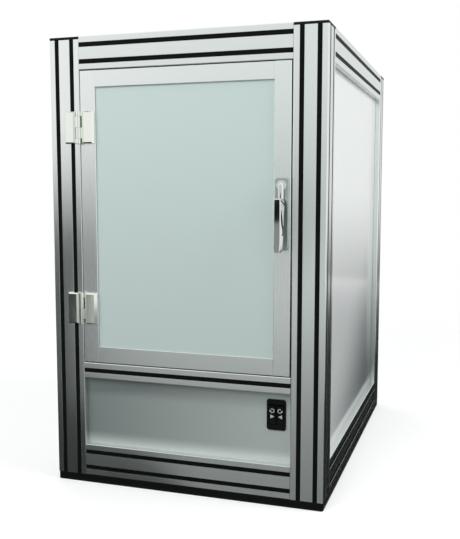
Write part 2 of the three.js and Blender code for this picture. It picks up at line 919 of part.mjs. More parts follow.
// How far an involute has turned from its base circle at a radius.
function involute(base, radius) {
  const angle = Math.acos(Math.min(1, base / radius));
  return Math.tan(angle) - angle;
}

// The outline of a spur gear with true involute flanks and stub tips, its first tooth's middle at an angle.
function gearOutline(teeth, firstTooth) {
  const pitch = (gearModule * teeth) / 2;
  const base = pitch * Math.cos(radians(pressureAngle));
  const tip = pitch + addendumShare * gearModule;
  const root = pitch - dedendumShare * gearModule;
  const start = Math.max(base, root);
  const atPitch = Math.PI / (2 * teeth) - gearBacklash / (2 * pitch) + involute(base, pitch);
  const radii = flankShares.map((share) => start + (tip - start) * share);
  const halves = radii.map((radius) => atPitch - involute(base, radius));
  const flank = radii.map((radius, index) => [radius, halves[index]]);
  if (root < base) {
    flank.unshift([root, halves[0]]);
  }
  const points = [];
  for (let tooth = 0; tooth < teeth; tooth += 1) {
    const middle = firstTooth + (2 * Math.PI * tooth) / teeth;
    const rising = flank.map(([radius, half]) => [radius, middle - half]);
    const falling = [...flank].reverse().map(([radius, half]) => [radius, middle + half]);
    for (const [radius, angle] of [...rising, ...falling]) {
      points.push([radius * Math.cos(angle), radius * Math.sin(angle)]);
    }
  }
  return points;
}

// The driven wheel on its spindle: a dished web under the housing and the plate that carries the platter.
function wheelAndSpindle() {
  const low = gearTop - gearThickness;
  const wheel = sweep(outline(gearOutline(wheelTeeth, Math.PI / 2)), gearThickness, [0, 0, low], X, Y);
  const dish = (from, to) => {
    const ring = pierced(circle(wheelWebRadius, roundSides), [circle(wheelHubRadius, roundSides)]);
    return sweep(ring, to - from, [0, 0, from], X, Y);
  };
  const web = cut(
    wheel,
    dish(low - overrun, low + wheelWebRecess),
    dish(gearTop - wheelWebRecess, gearTop + overrun),
  );
  const plateLow = deckTop + hubPlateLift;
  const profile = [
    [0, gearTop - gearThickness / 2],
    [spindleRadius, gearTop - gearThickness / 2],
    [spindleRadius, plateLow],
    [hubPlateRadius, plateLow],
    [hubPlateRadius, plateLow + hubPlateThickness],
    [0, plateLow + hubPlateThickness],
  ];
  return joined(web, turned(profile, roundSides)).translate(0, turntableY, 0);
}

// The bearing housing that hangs from the deck, bored for the spindle.
function bearingHousing() {
  const bore = spindleRadius + runningGap;
  const low = deckUnderside - housingLength;
  const flange = deckUnderside - housingFlangeThickness;
  const profile = [
    [bore, low],
    [housingRadius, low],
    [housingRadius, flange],
    [housingFlangeRadius, flange],
    [housingFlangeRadius, deckUnderside],
    [bore, deckUnderside],
    [bore, low],
  ];
  return turned(profile, roundSides).translate(0, turntableY, 0);
}

// The pinion on the motor's shaft, with a tooth space turned towards the wheel.
function pinion() {
  const gap = -Math.PI / 2 - Math.PI / pinionTeeth;
  const low = gearTop - gearThickness;
  const teeth = sweep(outline(gearOutline(pinionTeeth, gap)), gearThickness, [0, 0, low], X, Y);
  const shaftTop = motorNose() + motorShaftSeat;
  return joined(teeth, rod(motorShaftRadius, low, shaftTop, smallSides)).translate(0, pinionY, 0);
}

function motorNose() {
  return deckUnderside - motorFlangeThickness - motorCanLength - gearboxLength;
}

// The gearmotor that hangs from the deck by a square flange, shaft down.
function gearmotor() {
  const nose = motorNose();
  const canLow = nose + gearboxLength;
  const profile = [
    [0, nose],
    [motorNoseRadius, nose],
    [motorNoseRadius, nose + motorNoseHeight],
    [gearboxRadius, nose + motorNoseHeight],
    [gearboxRadius, canLow],
    [motorCanRadius, canLow],
    [motorCanRadius, deckUnderside - motorFlangeThickness / 2],
    [0, deckUnderside - motorFlangeThickness / 2],
  ];
  const square = outline(roundedRectangle(motorFlangeSize, motorFlangeSize, motorFlangeRadius));
  const flangeLow = deckUnderside - motorFlangeThickness;
  const flange = sweep(square, motorFlangeThickness, [0, 0, flangeLow], X, Y);
  const seatTop = nose + motorShaftSeat + overrun;
  const seat = rod(motorShaftRadius + runningGap, nose - overrun, seatTop, smallSides);
  return cut(joined(turned(profile, roundSides), flange), seat).translate(0, pinionY, 0);
}

function mast() {
  return sweep(profileSection(1, 1), mastHeight, [0, mastY, deckTop], X, Y);
}

// The yoke on the mast's front: a back plate, two ears and the pivot bolt between them.
function yoke() {
  const plate = outline(roundedRectangle(yokeWidth, yokeHeight, headBevel));
  const pieces = [sweep(plate, yokeThickness, [0, yokeStand, 0], X, Z)];
  const ear = [
    [yokeStand - yokeThickness / 2, -yokeEarRadius],
    [yokeStand - yokeThickness / 2, yokeEarRadius],
    ...arc(0, 0, yokeEarRadius, 90, 270, smallSides),
  ];
  for (const side of [-1, 1]) {
    const inner = lugWidth / 2 + cutoutGap;
    const from = side > 0 ? inner : -inner - yokeThickness;
    pieces.push(sweep(outline(ear), yokeThickness, [from, 0, 0], Y, Z));
  }
  const reach = lugWidth / 2 + cutoutGap + yokeThickness + overrun;
  pieces.push(rod(pivotRadius, -reach, reach, smallSides).rotateY(Math.PI / 2));
  return joined(...pieces).translate(0, headPivotY, headPivotZ);
}

// The head's housing about its pivot: rounded case, three lens seats, vents in its top and a lug behind.
function headHousing() {
  const edge = outline(roundedRectangle(headWidth, headHeight, headCornerRadius));
  const shell = sweep(edge, headDepth, [0, -headBack, 0], X, Z, headBevel);
  const lug = outline([
    ...arc(0, 0, lugRadius, -90, 90, smallSides),
    [-headBack - headBevel, lugRadius],
    [-headBack - headBevel, -lugRadius],
  ]);
  const tongue = sweep(lug, lugWidth, [-lugWidth / 2, 0, 0], Y, Z);
  const front = -headBack - headDepth;
  const tools = lenses().map(({ across, radius }) => {
    const seat = rod(radius + seatGap, -lensSeatDepth - seatGap, overrun, roundSides);
    return seat.rotateX(Math.PI / 2).translate(across, front, 0);
  });
  for (let index = 0; index < headVentCount; index += 1) {
    const across = (index - (headVentCount - 1) / 2) * headVentPitch;
    const half = headVentWidth / 2;
    tools.push(
      block(
        [across - half, -headBack - headDepth * headVentEndShare, headHeight / 2 - headVentDepth],
        [across + half, -headBack - headDepth * headVentStartShare, headHeight / 2 + overrun],
      ),
    );
  }
  tools.push(
    rod(pivotRadius + seatGap, -lugWidth, lugWidth, smallSides).rotateY(Math.PI / 2),
  );
  return cut(joined(shell, tongue), ...tools);
}

function lenses() {
  return [
    { name: "camera_lens_left", across: -lensPitch, radius: cameraLensRadius },
    { name: "projector_lens", across: 0, radius: projectorLensRadius },
    { name: "camera_lens_right", across: lensPitch, radius: cameraLensRadius },
  ];
}

// A lens barrel about its own axis, seated in the housing: a rim, a conical mouth and a domed front glass.
function lensBarrel(radius) {
  const back = -lensSeatDepth;
  const front = lensLength - lensSeatDepth;
  const glassRadius = radius * lensGlassShare;
  const profile = [
    [0, back],
    [radius, back],
    [radius, front - lensRim / 2],
    [radius - lensRim / 2, front],
    [radius - lensRim, front],
    [glassRadius, front - lensMouthDepth],
    [glassRadius * lensDomeRadiusShare, front - lensMouthDepth * lensDomeEdgeShare],
    [0, front - lensMouthDepth * lensDomeCrownShare],
  ];
  return turned(profile, roundSides).rotateX(Math.PI / 2);
}

// The light bar behind the top beam: a shallow channel with a slanted diffuser that faces down and back.
function lightBar() {
  const back = frontFace + cell;
  const high = frameTop - lightBarDrop + lightBarHeight;
  const reach = openingHalfWidth - lightBarEndGap;
  const section = [
    [back, high],
    [back, high - lightBarHeight],
    [back + lightBarDepth / 2, high - lightBarHeight],
    [back + lightBarDepth, high - lightBarHeight / 2],
    [back + lightBarDepth, high],
  ];
  return sweep(outline(section), 2 * reach, [-reach, 0, 0], Y, Z);
}

// The power supply on the base plate: a ribbed case with its terminal strip at one end.
function powerSupply() {
  const left = -supplyLength / 2;
  const low = baseThickness;
  const high = low + supplyHeight;
  const front = postInnerRear - supplyInset - supplyWidth;
  const back = front + supplyWidth;
  const ledge = low + supplyTerminalHeight;
  const pitch = (supplyLength - 2 * supplyTerminalDepth) / supplyGrooveCount;
  const tools = [
    block(
      [left - overrun, front - overrun, ledge],
      [left + supplyTerminalDepth, back + overrun, high + overrun],
    ),
  ];
  for (let index = 0; index < supplyGrooveCount; index += 1) {
    const from = left + 2 * supplyTerminalDepth + index * pitch - pitch / 2;
    tools.push(
      block(
        [from, front + supplyTerminalDepth, high - supplyWall],
        [from + supplyGroove, back - supplyTerminalDepth, high + overrun],
      ),
    );
  }
  return cut(block([left, front, low], [-left, back, high]), ...tools);
}

// The inlet's body outline: a rectangle with its two top corners cut off.
function inletOutline(width, height) {
  const across = openingHalfWidth - inletInset;
  const up = baseThickness + inletRise;
  return [
    [across - width / 2, up - height / 2],
    [across + width / 2, up - height / 2],
    [across + width / 2, up + height / 2 - inletChamfer],
    [across + width / 2 - inletChamfer, up + height / 2],
    [across - width / 2 + inletChamfer, up + height / 2],
    [across - width / 2, up + height / 2 - inletChamfer],
  ];
}

// The mains inlet on the rear panel: flange, body with an open recess and three blades in it.
function mainsInlet() {
  const across = openingHalfWidth - inletInset;
  const up = baseThickness + inletRise;
  const face = rearFace - panelRecess;
  const flange = outline(roundedRectangle(inletWidth, inletHeight, inletFlangeRadius, across, up));
  const plate = sweep(flange, inletFlange, [0, face + inletFlange, 0], X, Z);
  const bodyEdge = outline(inletOutline(inletBodyWidth, inletBodyHeight));
  const body = sweep(bodyEdge, inletBodyDepth + inletFlange / 2, [0, face + inletFlange / 2, 0], X, Z);
  const mouth = outline(inletOutline(inletBodyWidth - 2 * inletWall, inletBodyHeight - 2 * inletWall));
  const recess = sweep(mouth, inletRecess, [0, face + inletFlange + overrun, 0], X, Z);
  const pinBack = face + inletFlange - inletRecess;
  const blades = [-1, 0, 1].map((column) => {
    const middle = across + column * inletPinPitch;
    const low = up - inletPinHeight / 2 + (column === 0 ? inletPinRise : -inletPinRise);
    return block(
      [middle - inletPinWidth / 2, pinBack - overrun, low],
      [middle + inletPinWidth / 2, pinBack + inletPinLength, low + inletPinHeight],
    );
  });
  return joined(cut(joined(plate, body), recess), ...blades);
}

const scanner = new THREE.Group();
scanner.name = "desktop_scanner";

function add(name, material, geometry, group = scanner) {
  const mesh = new THREE.Mesh(geometry, material);
  mesh.name = name;
  group.add(mesh);
  return mesh;
}

for (const [endName, end] of [["front", -1], ["rear", 1]]) {
  for (const [sideName, side] of [["left", -1], ["right", 1]]) {
    add(`post_${endName}_${sideName}`, anodised, post(side, end));
    add(`post_cap_${endName}_${sideName}`, blackPlastic, postCap(side, end));
  }
  add(`top_beam_${endName}`, anodised, crossBeam(end, frameTop - cell, 2));
  add(`bottom_beam_${endName}`, anodised, crossBeam(end, baseThickness + cell, 2));
}
for (const [sideName, side] of [["left", -1], ["right", 1]]) {
  add(`top_beam_${sideName}`, anodised, sideBeam(side, frameTop - cell));
  add(`bottom_beam_${sideName}`, anodised, sideBeam(side, baseThickness + cell));
  add(`deck_rail_${sideName}`, anodised, deckRail(side));
  add(`side_panel_${sideName}`, whiteBoard, sidePanel(side));
}
add("mid_rail_front", anodised, crossBeam(-1, midRailBottom + cell / 2, 1));
add("base_plate", blackPlastic, basePlate());
add("rear_panel", whiteBoard, rearPanel());
add("top_panel", whiteBoard, topPanel());
add("lower_front_panel", whiteBoard, lowerFrontPanel());
add("deck_plate", darkMetal, deckPlate());

add("door_stile_hinge", doorMetal, hingeStile());
add("door_stile_latch", doorMetal, latchStile());
add("door_rail_top", doorMetal, doorRail(true));
add("door_rail_bottom", doorMetal, doorRail(false));
add("door_panel", whiteBoard, doorPanel());
add("door_stop_top", steel, doorStop(true));
add("door_stop_bottom", steel, doorStop(false));

const hingeMiddles = { upper: doorTop - hingeInset, lower: doorBottom + hingeInset };
for (const [place, middle] of Object.entries(hingeMiddles)) {
  const hinge = new THREE.Group();
  hinge.position.set(hingeAxisX, hingeAxisY, middle - hingeHeight / 2);
  add(`${place}_hinge_post_leaf`, chrome, hingeLeaf(-1), hinge);
  add(`${place}_hinge_door_leaf`, chrome, hingeLeaf(1), hinge);
  add(`${place}_hinge_pin`, chrome, hingePin(), hinge);
  scanner.add(hinge);
}

add("handle_escutcheon", chrome, escutcheon());
add("handle_lever", chrome, handleLever());
add("latch_cam", steel, latchCam());
add("latch_keeper", steel, latchKeeper());

add("switch_bezel", blackPlastic, switchBezel());
for (const [name, side] of [["rocker_forward", -1], ["rocker_reverse", 1]]) {
  const mesh = add(name, blackPlastic, rocker());
  mesh.position.set(
    openingHalfWidth - switchInset + (side * rockerPitch) / 2,
    frontFace + panelRecess + rockerPivotDepth,
    midRailBottom - switchDrop,
  );
  mesh.rotation.x = radians(rockerTilt);
}

add("turntable_platter", darkMetal, platter());
add("drive_wheel", steel, wheelAndSpindle());
add("bearing_housing", darkMetal, bearingHousing());
add("drive_pinion", steel, pinion());
add("gearmotor", steel, gearmotor());

add("scan_mast", anodised, mast());
add("scan_yoke", darkMetal, yoke());
const head = new THREE.Group();
head.position.set(0, headPivotY, headPivotZ);
head.rotation.x = radians(headPitch);
add("scan_head_housing", blackPlastic, headHousing(), head);
for (const { name, across, radius } of lenses()) {
  const barrel = add(name, glass, lensBarrel(radius), head);
  barrel.position.set(across, -headBack - headDepth, 0);
}
scanner.add(head);

add("light_bar", diffuser, lightBar());
add("power_supply", steel, powerSupply());
add("mains_inlet", blackPlastic, mainsInlet());

export default scanner;
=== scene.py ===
import json
import math

import bmesh
import bpy
from mathutils import Matrix, Vector
from mathutils.bvhtree import BVHTree

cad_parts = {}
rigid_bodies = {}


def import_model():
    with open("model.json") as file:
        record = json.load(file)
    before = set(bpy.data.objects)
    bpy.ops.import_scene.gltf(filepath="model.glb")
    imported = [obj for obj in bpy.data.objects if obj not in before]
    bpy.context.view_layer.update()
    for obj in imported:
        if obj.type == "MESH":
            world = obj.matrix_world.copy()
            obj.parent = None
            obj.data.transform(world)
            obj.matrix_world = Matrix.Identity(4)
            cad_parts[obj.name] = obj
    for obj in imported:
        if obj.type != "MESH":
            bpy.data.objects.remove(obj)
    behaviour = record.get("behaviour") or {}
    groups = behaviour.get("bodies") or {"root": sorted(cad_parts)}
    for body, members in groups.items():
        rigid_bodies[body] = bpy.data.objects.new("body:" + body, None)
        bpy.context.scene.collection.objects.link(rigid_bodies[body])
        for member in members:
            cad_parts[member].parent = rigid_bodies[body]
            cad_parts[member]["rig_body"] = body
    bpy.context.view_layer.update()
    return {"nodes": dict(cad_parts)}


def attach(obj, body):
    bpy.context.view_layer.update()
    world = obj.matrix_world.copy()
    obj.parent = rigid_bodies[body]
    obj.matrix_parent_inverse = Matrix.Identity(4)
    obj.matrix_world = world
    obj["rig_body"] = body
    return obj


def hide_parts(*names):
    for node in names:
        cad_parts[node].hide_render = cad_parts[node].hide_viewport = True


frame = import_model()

# The studio: a pale floor and a white surround, lit by four large soft lamps, over the front, the right side,
# the top and the left rear. The lamps aren't seen in mirrors.
mm = 0.001
camera_place = (0.5112, -1.6536, 0.5606)
camera_turn = (90 - 5.926, -0.023, 18.055)
lens_length = 52.1
sensor_width = 36.0

camera = bpy.data.objects.new("camera", bpy.data.cameras.new("camera"))
camera.data.lens = lens_length
camera.data.sensor_width = sensor_width
camera.location = camera_place
camera.rotation_euler = [math.radians(angle) for angle in camera_turn]
bpy.context.scene.collection.objects.link(camera)
bpy.context.scene.camera = camera
bpy.context.scene.view_settings.view_transform = "Standard"


def fill(tree, socket, value):
    """Links an output to a socket, or sets the socket's own value."""
    if isinstance(value, Wire):
        tree.links.new(value.socket, socket)
    else:
        socket.default_value = value


class Wire:
    """An output of a node, which can take part in sums."""

    def __init__(self, tree, socket):
        self.tree = tree
        self.socket = socket

    def work(self, operation, first, second):
        made = self.tree.nodes.new("ShaderNodeMath")
        made.operation = operation
        fill(self.tree, made.inputs[0], first)
        fill(self.tree, made.inputs[1], second)
        return Wire(self.tree, made.outputs[0])

    def __add__(self, other):
        return self.work("ADD", self, other)

    def __radd__(self, other):
        return self.work("ADD", other, self)

    def __sub__(self, other):
        return self.work("SUBTRACT", self, other)

    def __rsub__(self, other):
        return self.work("SUBTRACT", other, self)

    def __mul__(self, other):
        return self.work("MULTIPLY", self, other)

    def __rmul__(self, other):
        return self.work("MULTIPLY", other, self)


class Recipe:
    """A node tree that is filled node by node."""

    def __init__(self, tree):
        self.tree = tree
        tree.nodes.clear()

    def node(self, kind, settings=None, sockets=None, out=0):
        """Adds a node: first its settings, then its sockets, by identifier or name. Gives one output."""
        made = self.tree.nodes.new(kind)
        for name, value in (settings or {}).items():
            setattr(made, name, value)
        for name, value in (sockets or {}).items():
            fill(self.tree, next(s for s in made.inputs if name in (s.identifier, s.name)), value)
        if isinstance(out, str):
            out = next(i for i, s in enumerate(made.outputs) if out in (s.identifier, s.name))
        return Wire(self.tree, made.outputs[out]) if len(made.outputs) else made


class Finish(Recipe):
    """A material whose patterns lie on the object's own coordinates, in metres."""

    def __init__(self, name):
        self.material = bpy.data.materials.new(name)
        self.material.use_nodes = True
        super().__init__(self.material.node_tree)
        self.place = self.node("ShaderNodeTexCoord", out="Object")

    def noise(self, turns, detail=3.0):
        """Noise with so many turns a metre along X, Y and Z."""
        spread = self.node("ShaderNodeMapping", {}, {"Vector": self.place, "Scale": turns})
        return self.node("ShaderNodeTexNoise", {}, {"Vector": spread, "Scale": 1.0, "Detail": detail})

    def step(self, value, low, high):
        """0 under one value and 1 over another, soft between them."""
        return self.node(
            "ShaderNodeMapRange",
            {"interpolation_type": "SMOOTHSTEP"},
            {"Value": value, "From Min": low, "From Max": high},
        )

    def ramp(self, value, low, high):
        """0 under one value and 1 over another, straight between them."""
        return self.node("ShaderNodeMapRange", {}, {"Value": value, "From Min": low, "From Max": high})

    def axis(self, name):
        return self.node("ShaderNodeSeparateXYZ", {}, {"Vector": self.place}, name)

    def blend(self, share, first, second):
        """One colour at share 0 and another at 1."""
        ends = [value if isinstance(value, Wire) else (*value, 1.0) for value in (first, second)]
        sockets = {"Factor_Float": share, "A_Color": ends[0], "B_Color": ends[1]}
        return self.node("ShaderNodeMix", {"data_type": "RGBA"}, sockets, "Result_Color")

    def mixed(self, share, first, second):
        """One shader at share 0 and another at 1."""
        return self.node("ShaderNodeMixShader", {}, {"Fac": share, "Shader": first, "Shader_001": second})

    def bump(self, height, depth):
        return self.node("ShaderNodeBump", {}, {"Height": height, "Distance": depth})

    def close(self, sockets):
        """Feeds the surface shader and gives the material."""
        shader = self.node("ShaderNodeBsdfPrincipled", {}, sockets)
        self.node("ShaderNodeOutputMaterial", {}, {"Surface": shader})
        return self.material


def seen(recipe):
    """1 for what the camera sees straight, in a mirror or through glass."""
    kinds = ("Is Camera Ray", "Is Glossy Ray", "Is Transmission Ray")
    straight, mirrored, through = (recipe.node("ShaderNodeLightPath", {}, {}, kind) for kind in kinds)
    both = straight.work("MAXIMUM", straight, mirrored)
    return both.work("MAXIMUM", both, through)


room_light = 0.42
surround_light = 1.0
surround_tone = (1.0, 1.0, 1.0, 1.0)
world = bpy.data.worlds.new("studio")
world.use_nodes = True
bpy.context.scene.world = world
surround = Recipe(world.node_tree)
strength = room_light + seen(surround) * (surround_light - room_light)
room = surround.node("ShaderNodeBackground", {}, {"Color": surround_tone, "Strength": strength})
surround.node("ShaderNodeOutputWorld", {}, {"Surface": room})

floor_reach = 30.0
floor_grey = (0.34, 0.35, 0.35, 1.0)
floor_pale = (0.62, 0.63, 0.63, 1.0)
floor_lift = 0.45
floor_fade = (0.75, 2.1)


def floor_finish():
    """Pale near the object, where its shadow lies, and white further out. It throws less light back."""
    finish = Finish("studio_floor")
    far = finish.node("ShaderNodeVectorMath", {"operation": "LENGTH"}, {"Vector": finish.place}, "Value")
    open_floor = finish.step(far, *floor_fade)
    shaded = finish.node("ShaderNodeBsdfDiffuse", {}, {"Color": floor_pale})
    lift = finish.node("ShaderNodeEmission", {}, {"Strength": floor_lift})
    near_floor = finish.node("ShaderNodeAddShader", {}, {"Shader": shaded, "Shader_001": lift})
    far_floor = finish.node("ShaderNodeEmission", {}, {"Strength": surround_light})
    view = finish.mixed(open_floor, near_floor, far_floor)
    dim = finish.node("ShaderNodeBsdfDiffuse", {}, {"Color": floor_grey})
    finish.node("ShaderNodeOutputMaterial", {}, {"Surface": finish.mixed(seen(finish), dim, view)})
    return finish.material


def sheet(name, corners, material):
    """A flat four-cornered sheet of the studio."""
    mesh = bpy.data.meshes.new(name)
    mesh.from_pydata(corners, [], [(0, 1, 2, 3)])
    mesh.materials.append(material)
    made = bpy.data.objects.new(name, mesh)
    bpy.context.scene.collection.objects.link(made)
    return made


sheet(
    "floor",
    [(x * floor_reach, y * floor_reach, 0.0) for x, y in ((-1, -1), (1, -1), (1, 1), (-1, 1))],
    floor_finish(),
)

lamps = {
    "lamp_front": ((-0.9, -2.3, 2.1), (0.0, -0.2, 0.62), (2.2, 1.6), 38.0),
    "lamp_right": ((2.3, -0.2, 1.9), (0.2, 0.0, 0.6), (1.8, 1.6), 46.0),
    "lamp_top": ((0.0, 0.1, 2.6), (0.0, 0.0, 0.8), (2.4, 2.4), 5.0),
    "lamp_back": ((-2.0, 2.0, 1.2), (-0.2, 0.2, 0.5), (1.8, 1.6), 26.0),
}
for name, (place, target, size, power) in lamps.items():
    lamp = bpy.data.objects.new(name, bpy.data.lights.new(name, "AREA"))
    lamp.data.shape = "RECTANGLE"
    lamp.data.size, lamp.data.size_y = size
    lamp.data.energy = power
    lamp.location = place
    lamp.visible_glossy = False
    lamp.rotation_euler = (Vector(target) - Vector(place)).to_track_quat("-Z", "Y").to_euler()
    bpy.context.scene.collection.objects.link(lamp)

# What the polished metal mirrors: soft grey screens on the floor and round the stage, which only mirror rays
# meet. They are dark beside the left front corner and near the foot, and paler higher up and further out.
frame_half_width = 260 * mm
frame_half_depth = 360 * mm
screen_gap = 2 * mm
screen_side = frame_half_width + screen_gap
screen_front = -frame_half_depth - screen_gap
screen_reach = 3.2
screen_top = 1.7
screen_lift = 2 * mm
screen_left = -4.0
screen_right = 2.0
screen_aside = 3.0
grey_dark = (0.018, 0.020, 0.020)
grey_foot = (0.038, 0.042, 0.041)
grey_near = (0.176, 0.186, 0.183)
grey_far = (0.68, 0.71, 0.70)
grey_middle = (0.27, 0.29, 0.28)
grey_right = (0.64, 0.67, 0.66)
grey_high = (0.83, 0.86, 0.85)
grey_back = (0.74, 0.75, 0.75)
grey_side = (0.80, 0.82, 0.815)
white = (1.0, 1.0, 1.0)
no_paint = (0.0, 0.0, 0.0, 1.0)
cloth_turns = 2.0
cloth_share = 0.04
ground_fade = (0.2, 3.2)
dark_lean = 0.585
dark_bow = 0.015
dark_edge = (0.17, 0.27)
dark_foot = (0.3, 1.0)
dark_reach = 0.2
left_fade = (0.18, 0.86)
right_fade = (0.62, 1.2)
wall_turn = (-1.8, -0.9)
side_fade = (1.4, 4.4)
aside_fade = (0.66, 1.2)
back_fade = (-0.2, 0.6)
card_left, card_right = -0.72, -0.40
card_place = -3.1
card_foot, card_top = 0.15, 0.535
card_fade = (0.375, 0.395)
card_dark_share = 0.3


def share_of(tone, share):
    """A tone made darker."""
    return tuple(value * share for value in tone)


def screen_finish(name, paint):
    """A softly glowing sheet whose grey comes from a function of its finish."""
    finish = Finish(name)
    grey = finish.blend(finish.noise((cloth_turns,) * 3) * cloth_share, paint(finish), grey_dark)
    glow = {"Emission Color": grey, "Emission Strength": 1.0}
    return finish.close({"Base Color": no_paint, "Specular IOR Level": 0.0} | glow)


def front_ground(finish):
    """Darker towards the object, and dark left of a line that bends right near the object's foot."""
    outward = finish.axis("Y") * -1.0
    light = finish.blend(finish.ramp(outward, *ground_fade), grey_near, grey_far)
    line = outward * (dark_lean - outward * dark_bow) + finish.step(outward, *dark_foot) * dark_reach
    return finish.blend(finish.step(finish.axis("X") + line, *dark_edge), grey_foot, light)


def front_wall(finish):
    """Dark below and white above on the left, and pale all over on the right."""
    height = finish.axis("Z")
    left = finish.blend(finish.step(height, *left_fade), grey_dark, white)
    right = finish.blend(finish.step(height, *right_fade), grey_right, grey_high)
    return finish.blend(finish.step(finish.axis("X"), *wall_turn), left, right)


def side_ground(finish):
    """Dark close beside the object, and light further back and further out."""
    aside = finish.axis("X")
    far = finish.blend(finish.step(finish.axis("Y"), *side_fade), grey_dark, grey_back)
    return finish.blend(finish.step(aside * aside, *aside_fade), far, grey_back)


def back_wall(finish):
    """Dark at its foot and pale above."""
    return finish.blend(finish.step(finish.axis("Z"), *back_fade), grey_dark, grey_side)


def dark_card(finish):
    """Black across its top and grey below."""
    raised = finish.step(finish.axis("Z"), *card_fade)
    return finish.blend(raised, grey_middle, share_of(grey_dark, card_dark_share))


def flat_sheet(near, far):
    """A sheet just over the floor, from its near left corner to its far right one."""
    (left, front), (right, back) = near, far
    return [(x, y, screen_lift) for x, y in ((left, front), (right, front), (right, back), (left, back))]


def wall_sheet(left, right, place, foot=0.0, top=screen_top):
    """A standing sheet that faces along Y."""
    return [(left, place, foot), (right, place, foot), (right, place, top), (left, place, top)]


front_corners = ((screen_left, -screen_reach), (screen_right, screen_front))
right_corners = ((screen_side, screen_front), (screen_aside, screen_reach))
left_corners = ((-screen_aside, screen_front), (-screen_side, screen_reach))
screens = {
    "screen_ground_front": (flat_sheet(*front_corners), front_ground),
    "screen_ground_right": (flat_sheet(*right_corners), side_ground),
    "screen_ground_left": (flat_sheet(*left_corners), side_ground),
    "screen_wall_front": (wall_sheet(screen_left, screen_right, -screen_reach), front_wall),
    "screen_wall_back": (wall_sheet(-screen_aside, screen_aside, screen_reach), back_wall),
    "screen_card": (wall_sheet(card_left, card_right, card_place, card_foot, card_top), dark_card),
}
for name, (corners, paint) in screens.items():
    screen = sheet(name, corners, screen_finish(name, paint))
    screen.visible_camera = screen.visible_diffuse = screen.visible_shadow = False
    screen.visible_transmission = False

# The frame: four double posts, double beams at the top and bottom and one rail under the door, all in
# slotted aluminium profile, extruded, sawn to length and anodised. Every outer slot has a black strip in it.
along_x, along_y, along_z = range(3)
anodised_tone = (0.835, 0.875, 0.865)
die_line_turns = 900.0
die_band_turns = 170.0
die_length_turns = 1.2
cloud_turns = 7.0
streak_share = 0.05
streak_tone_share = 0.6
line_roughness = 0.1
cloud_roughness = 0.06
line_depth = 0.004 * mm
frame_edge = 0.25 * mm
gentle_angle = 32.0
weld_distance = 0.002 * mm
flat_angle = math.radians(0.4)


def extruded(name, along, tone, roughness):
    """Anodised aluminium with die lines along one axis."""
    finish = Finish(name)
    fine = finish.noise([die_length_turns if axis == along else die_line_turns for axis in range(3)])
    band_turns = [die_length_turns if axis == along else die_band_turns for axis in range(3)]
    band = finish.noise(band_turns, detail=1.0)
    cloud = finish.noise((cloud_turns,) * 3)
    return finish.close(
        {
            "Base Color": finish.blend(band * streak_share, tone, share_of(tone, streak_tone_share)),
            "Metallic": 1.0,
            "Roughness": roughness + (fine - 0.5) * line_roughness + (cloud - 0.5) * cloud_roughness,
            "Normal": finish.bump(fine, line_depth),
        }
    )


def eased(node, name, material, edge, segments=2, smooth=gentle_angle):
    """A copy of a CAD piece with its loose triangles merged, flat faces cleaned and edges rounded."""
    source = frame["nodes"][node]
    form = bmesh.new()
    form.from_mesh(source.data)
    bmesh.ops.remove_doubles(form, verts=form.verts, dist=weld_distance)
    bmesh.ops.dissolve_limit(form, angle_limit=flat_angle, verts=form.verts, edges=form.edges)
    made = shown(name, form, material, smooth)
    round_edges(made, edge, segments)
    flatten_faces(made)
    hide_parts(node)
    return riding(made, source["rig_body"])


def shown(name, form, material, smooth=gentle_angle):
    """A new object from a finished form, smooth over its gentle edges only."""
    mesh = bpy.data.meshes.new(name)
    form.to_mesh(mesh)
    form.free()
    mesh.materials.clear()
    mesh.materials.append(material)
    mesh.shade_smooth()
    mesh.set_sharp_from_angle(angle=math.radians(smooth))
    made = bpy.data.objects.new(name, mesh)
    bpy.context.scene.collection.objects.link(made)
    return made


def round_edges(made, edge, segments=2, corner=gentle_angle):
    """Rounds the edges that turn by more than a corner's angle, in degrees."""
    rounding = made.modifiers.new("rounded_edges", "BEVEL")
    rounding.width = edge
    rounding.segments = segments
    rounding.limit_method = "ANGLE"
    rounding.angle_limit = math.radians(corner)
    rounding.harden_normals = True


def flatten_faces(made):
    """Keeps broad faces flat in the light beside their rounded edges."""
    flatness = made.modifiers.new("flat_faces", "WEIGHTED_NORMAL")
    flatness.weight = 100
    flatness.keep_sharp = True


def riding(made, body):
    """Fixes a piece to the body that it moves with."""
    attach(made, body)
    return made


upright = extruded("anodised_upright", along_z, anodised_tone, roughness=0.2)
crosswise = extruded("anodised_crosswise", along_x, anodised_tone, roughness=0.32)
lengthwise = extruded("anodised_lengthwise", along_y, anodised_tone, roughness=0.17)
ends = ("front", "rear")
sides = ("left", "right")
for end in ends:
    for side in sides:
        eased(f"post_{end}_{side}", f"profile_post_{end}_{side}", upright, frame_edge)
for level in ("top", "bottom"):
    for end in ends:
        eased(f"{level}_beam_{end}", f"profile_{level}_{end}", crosswise, frame_edge)
    for side in sides:
        eased(f"{level}_beam_{side}", f"profile_{level}_{side}", lengthwise, frame_edge)
eased("mid_rail_front", "profile_mid_rail", crosswise, frame_edge)
for side in sides:
    eased(f"deck_rail_{side}", f"profile_deck_rail_{side}", lengthwise, frame_edge)

grain_detail = 2.0
bloom_turns = 14.0
bloom_detail = 4.0
bloom_tone = 0.004
bloom_roughness = 0.2


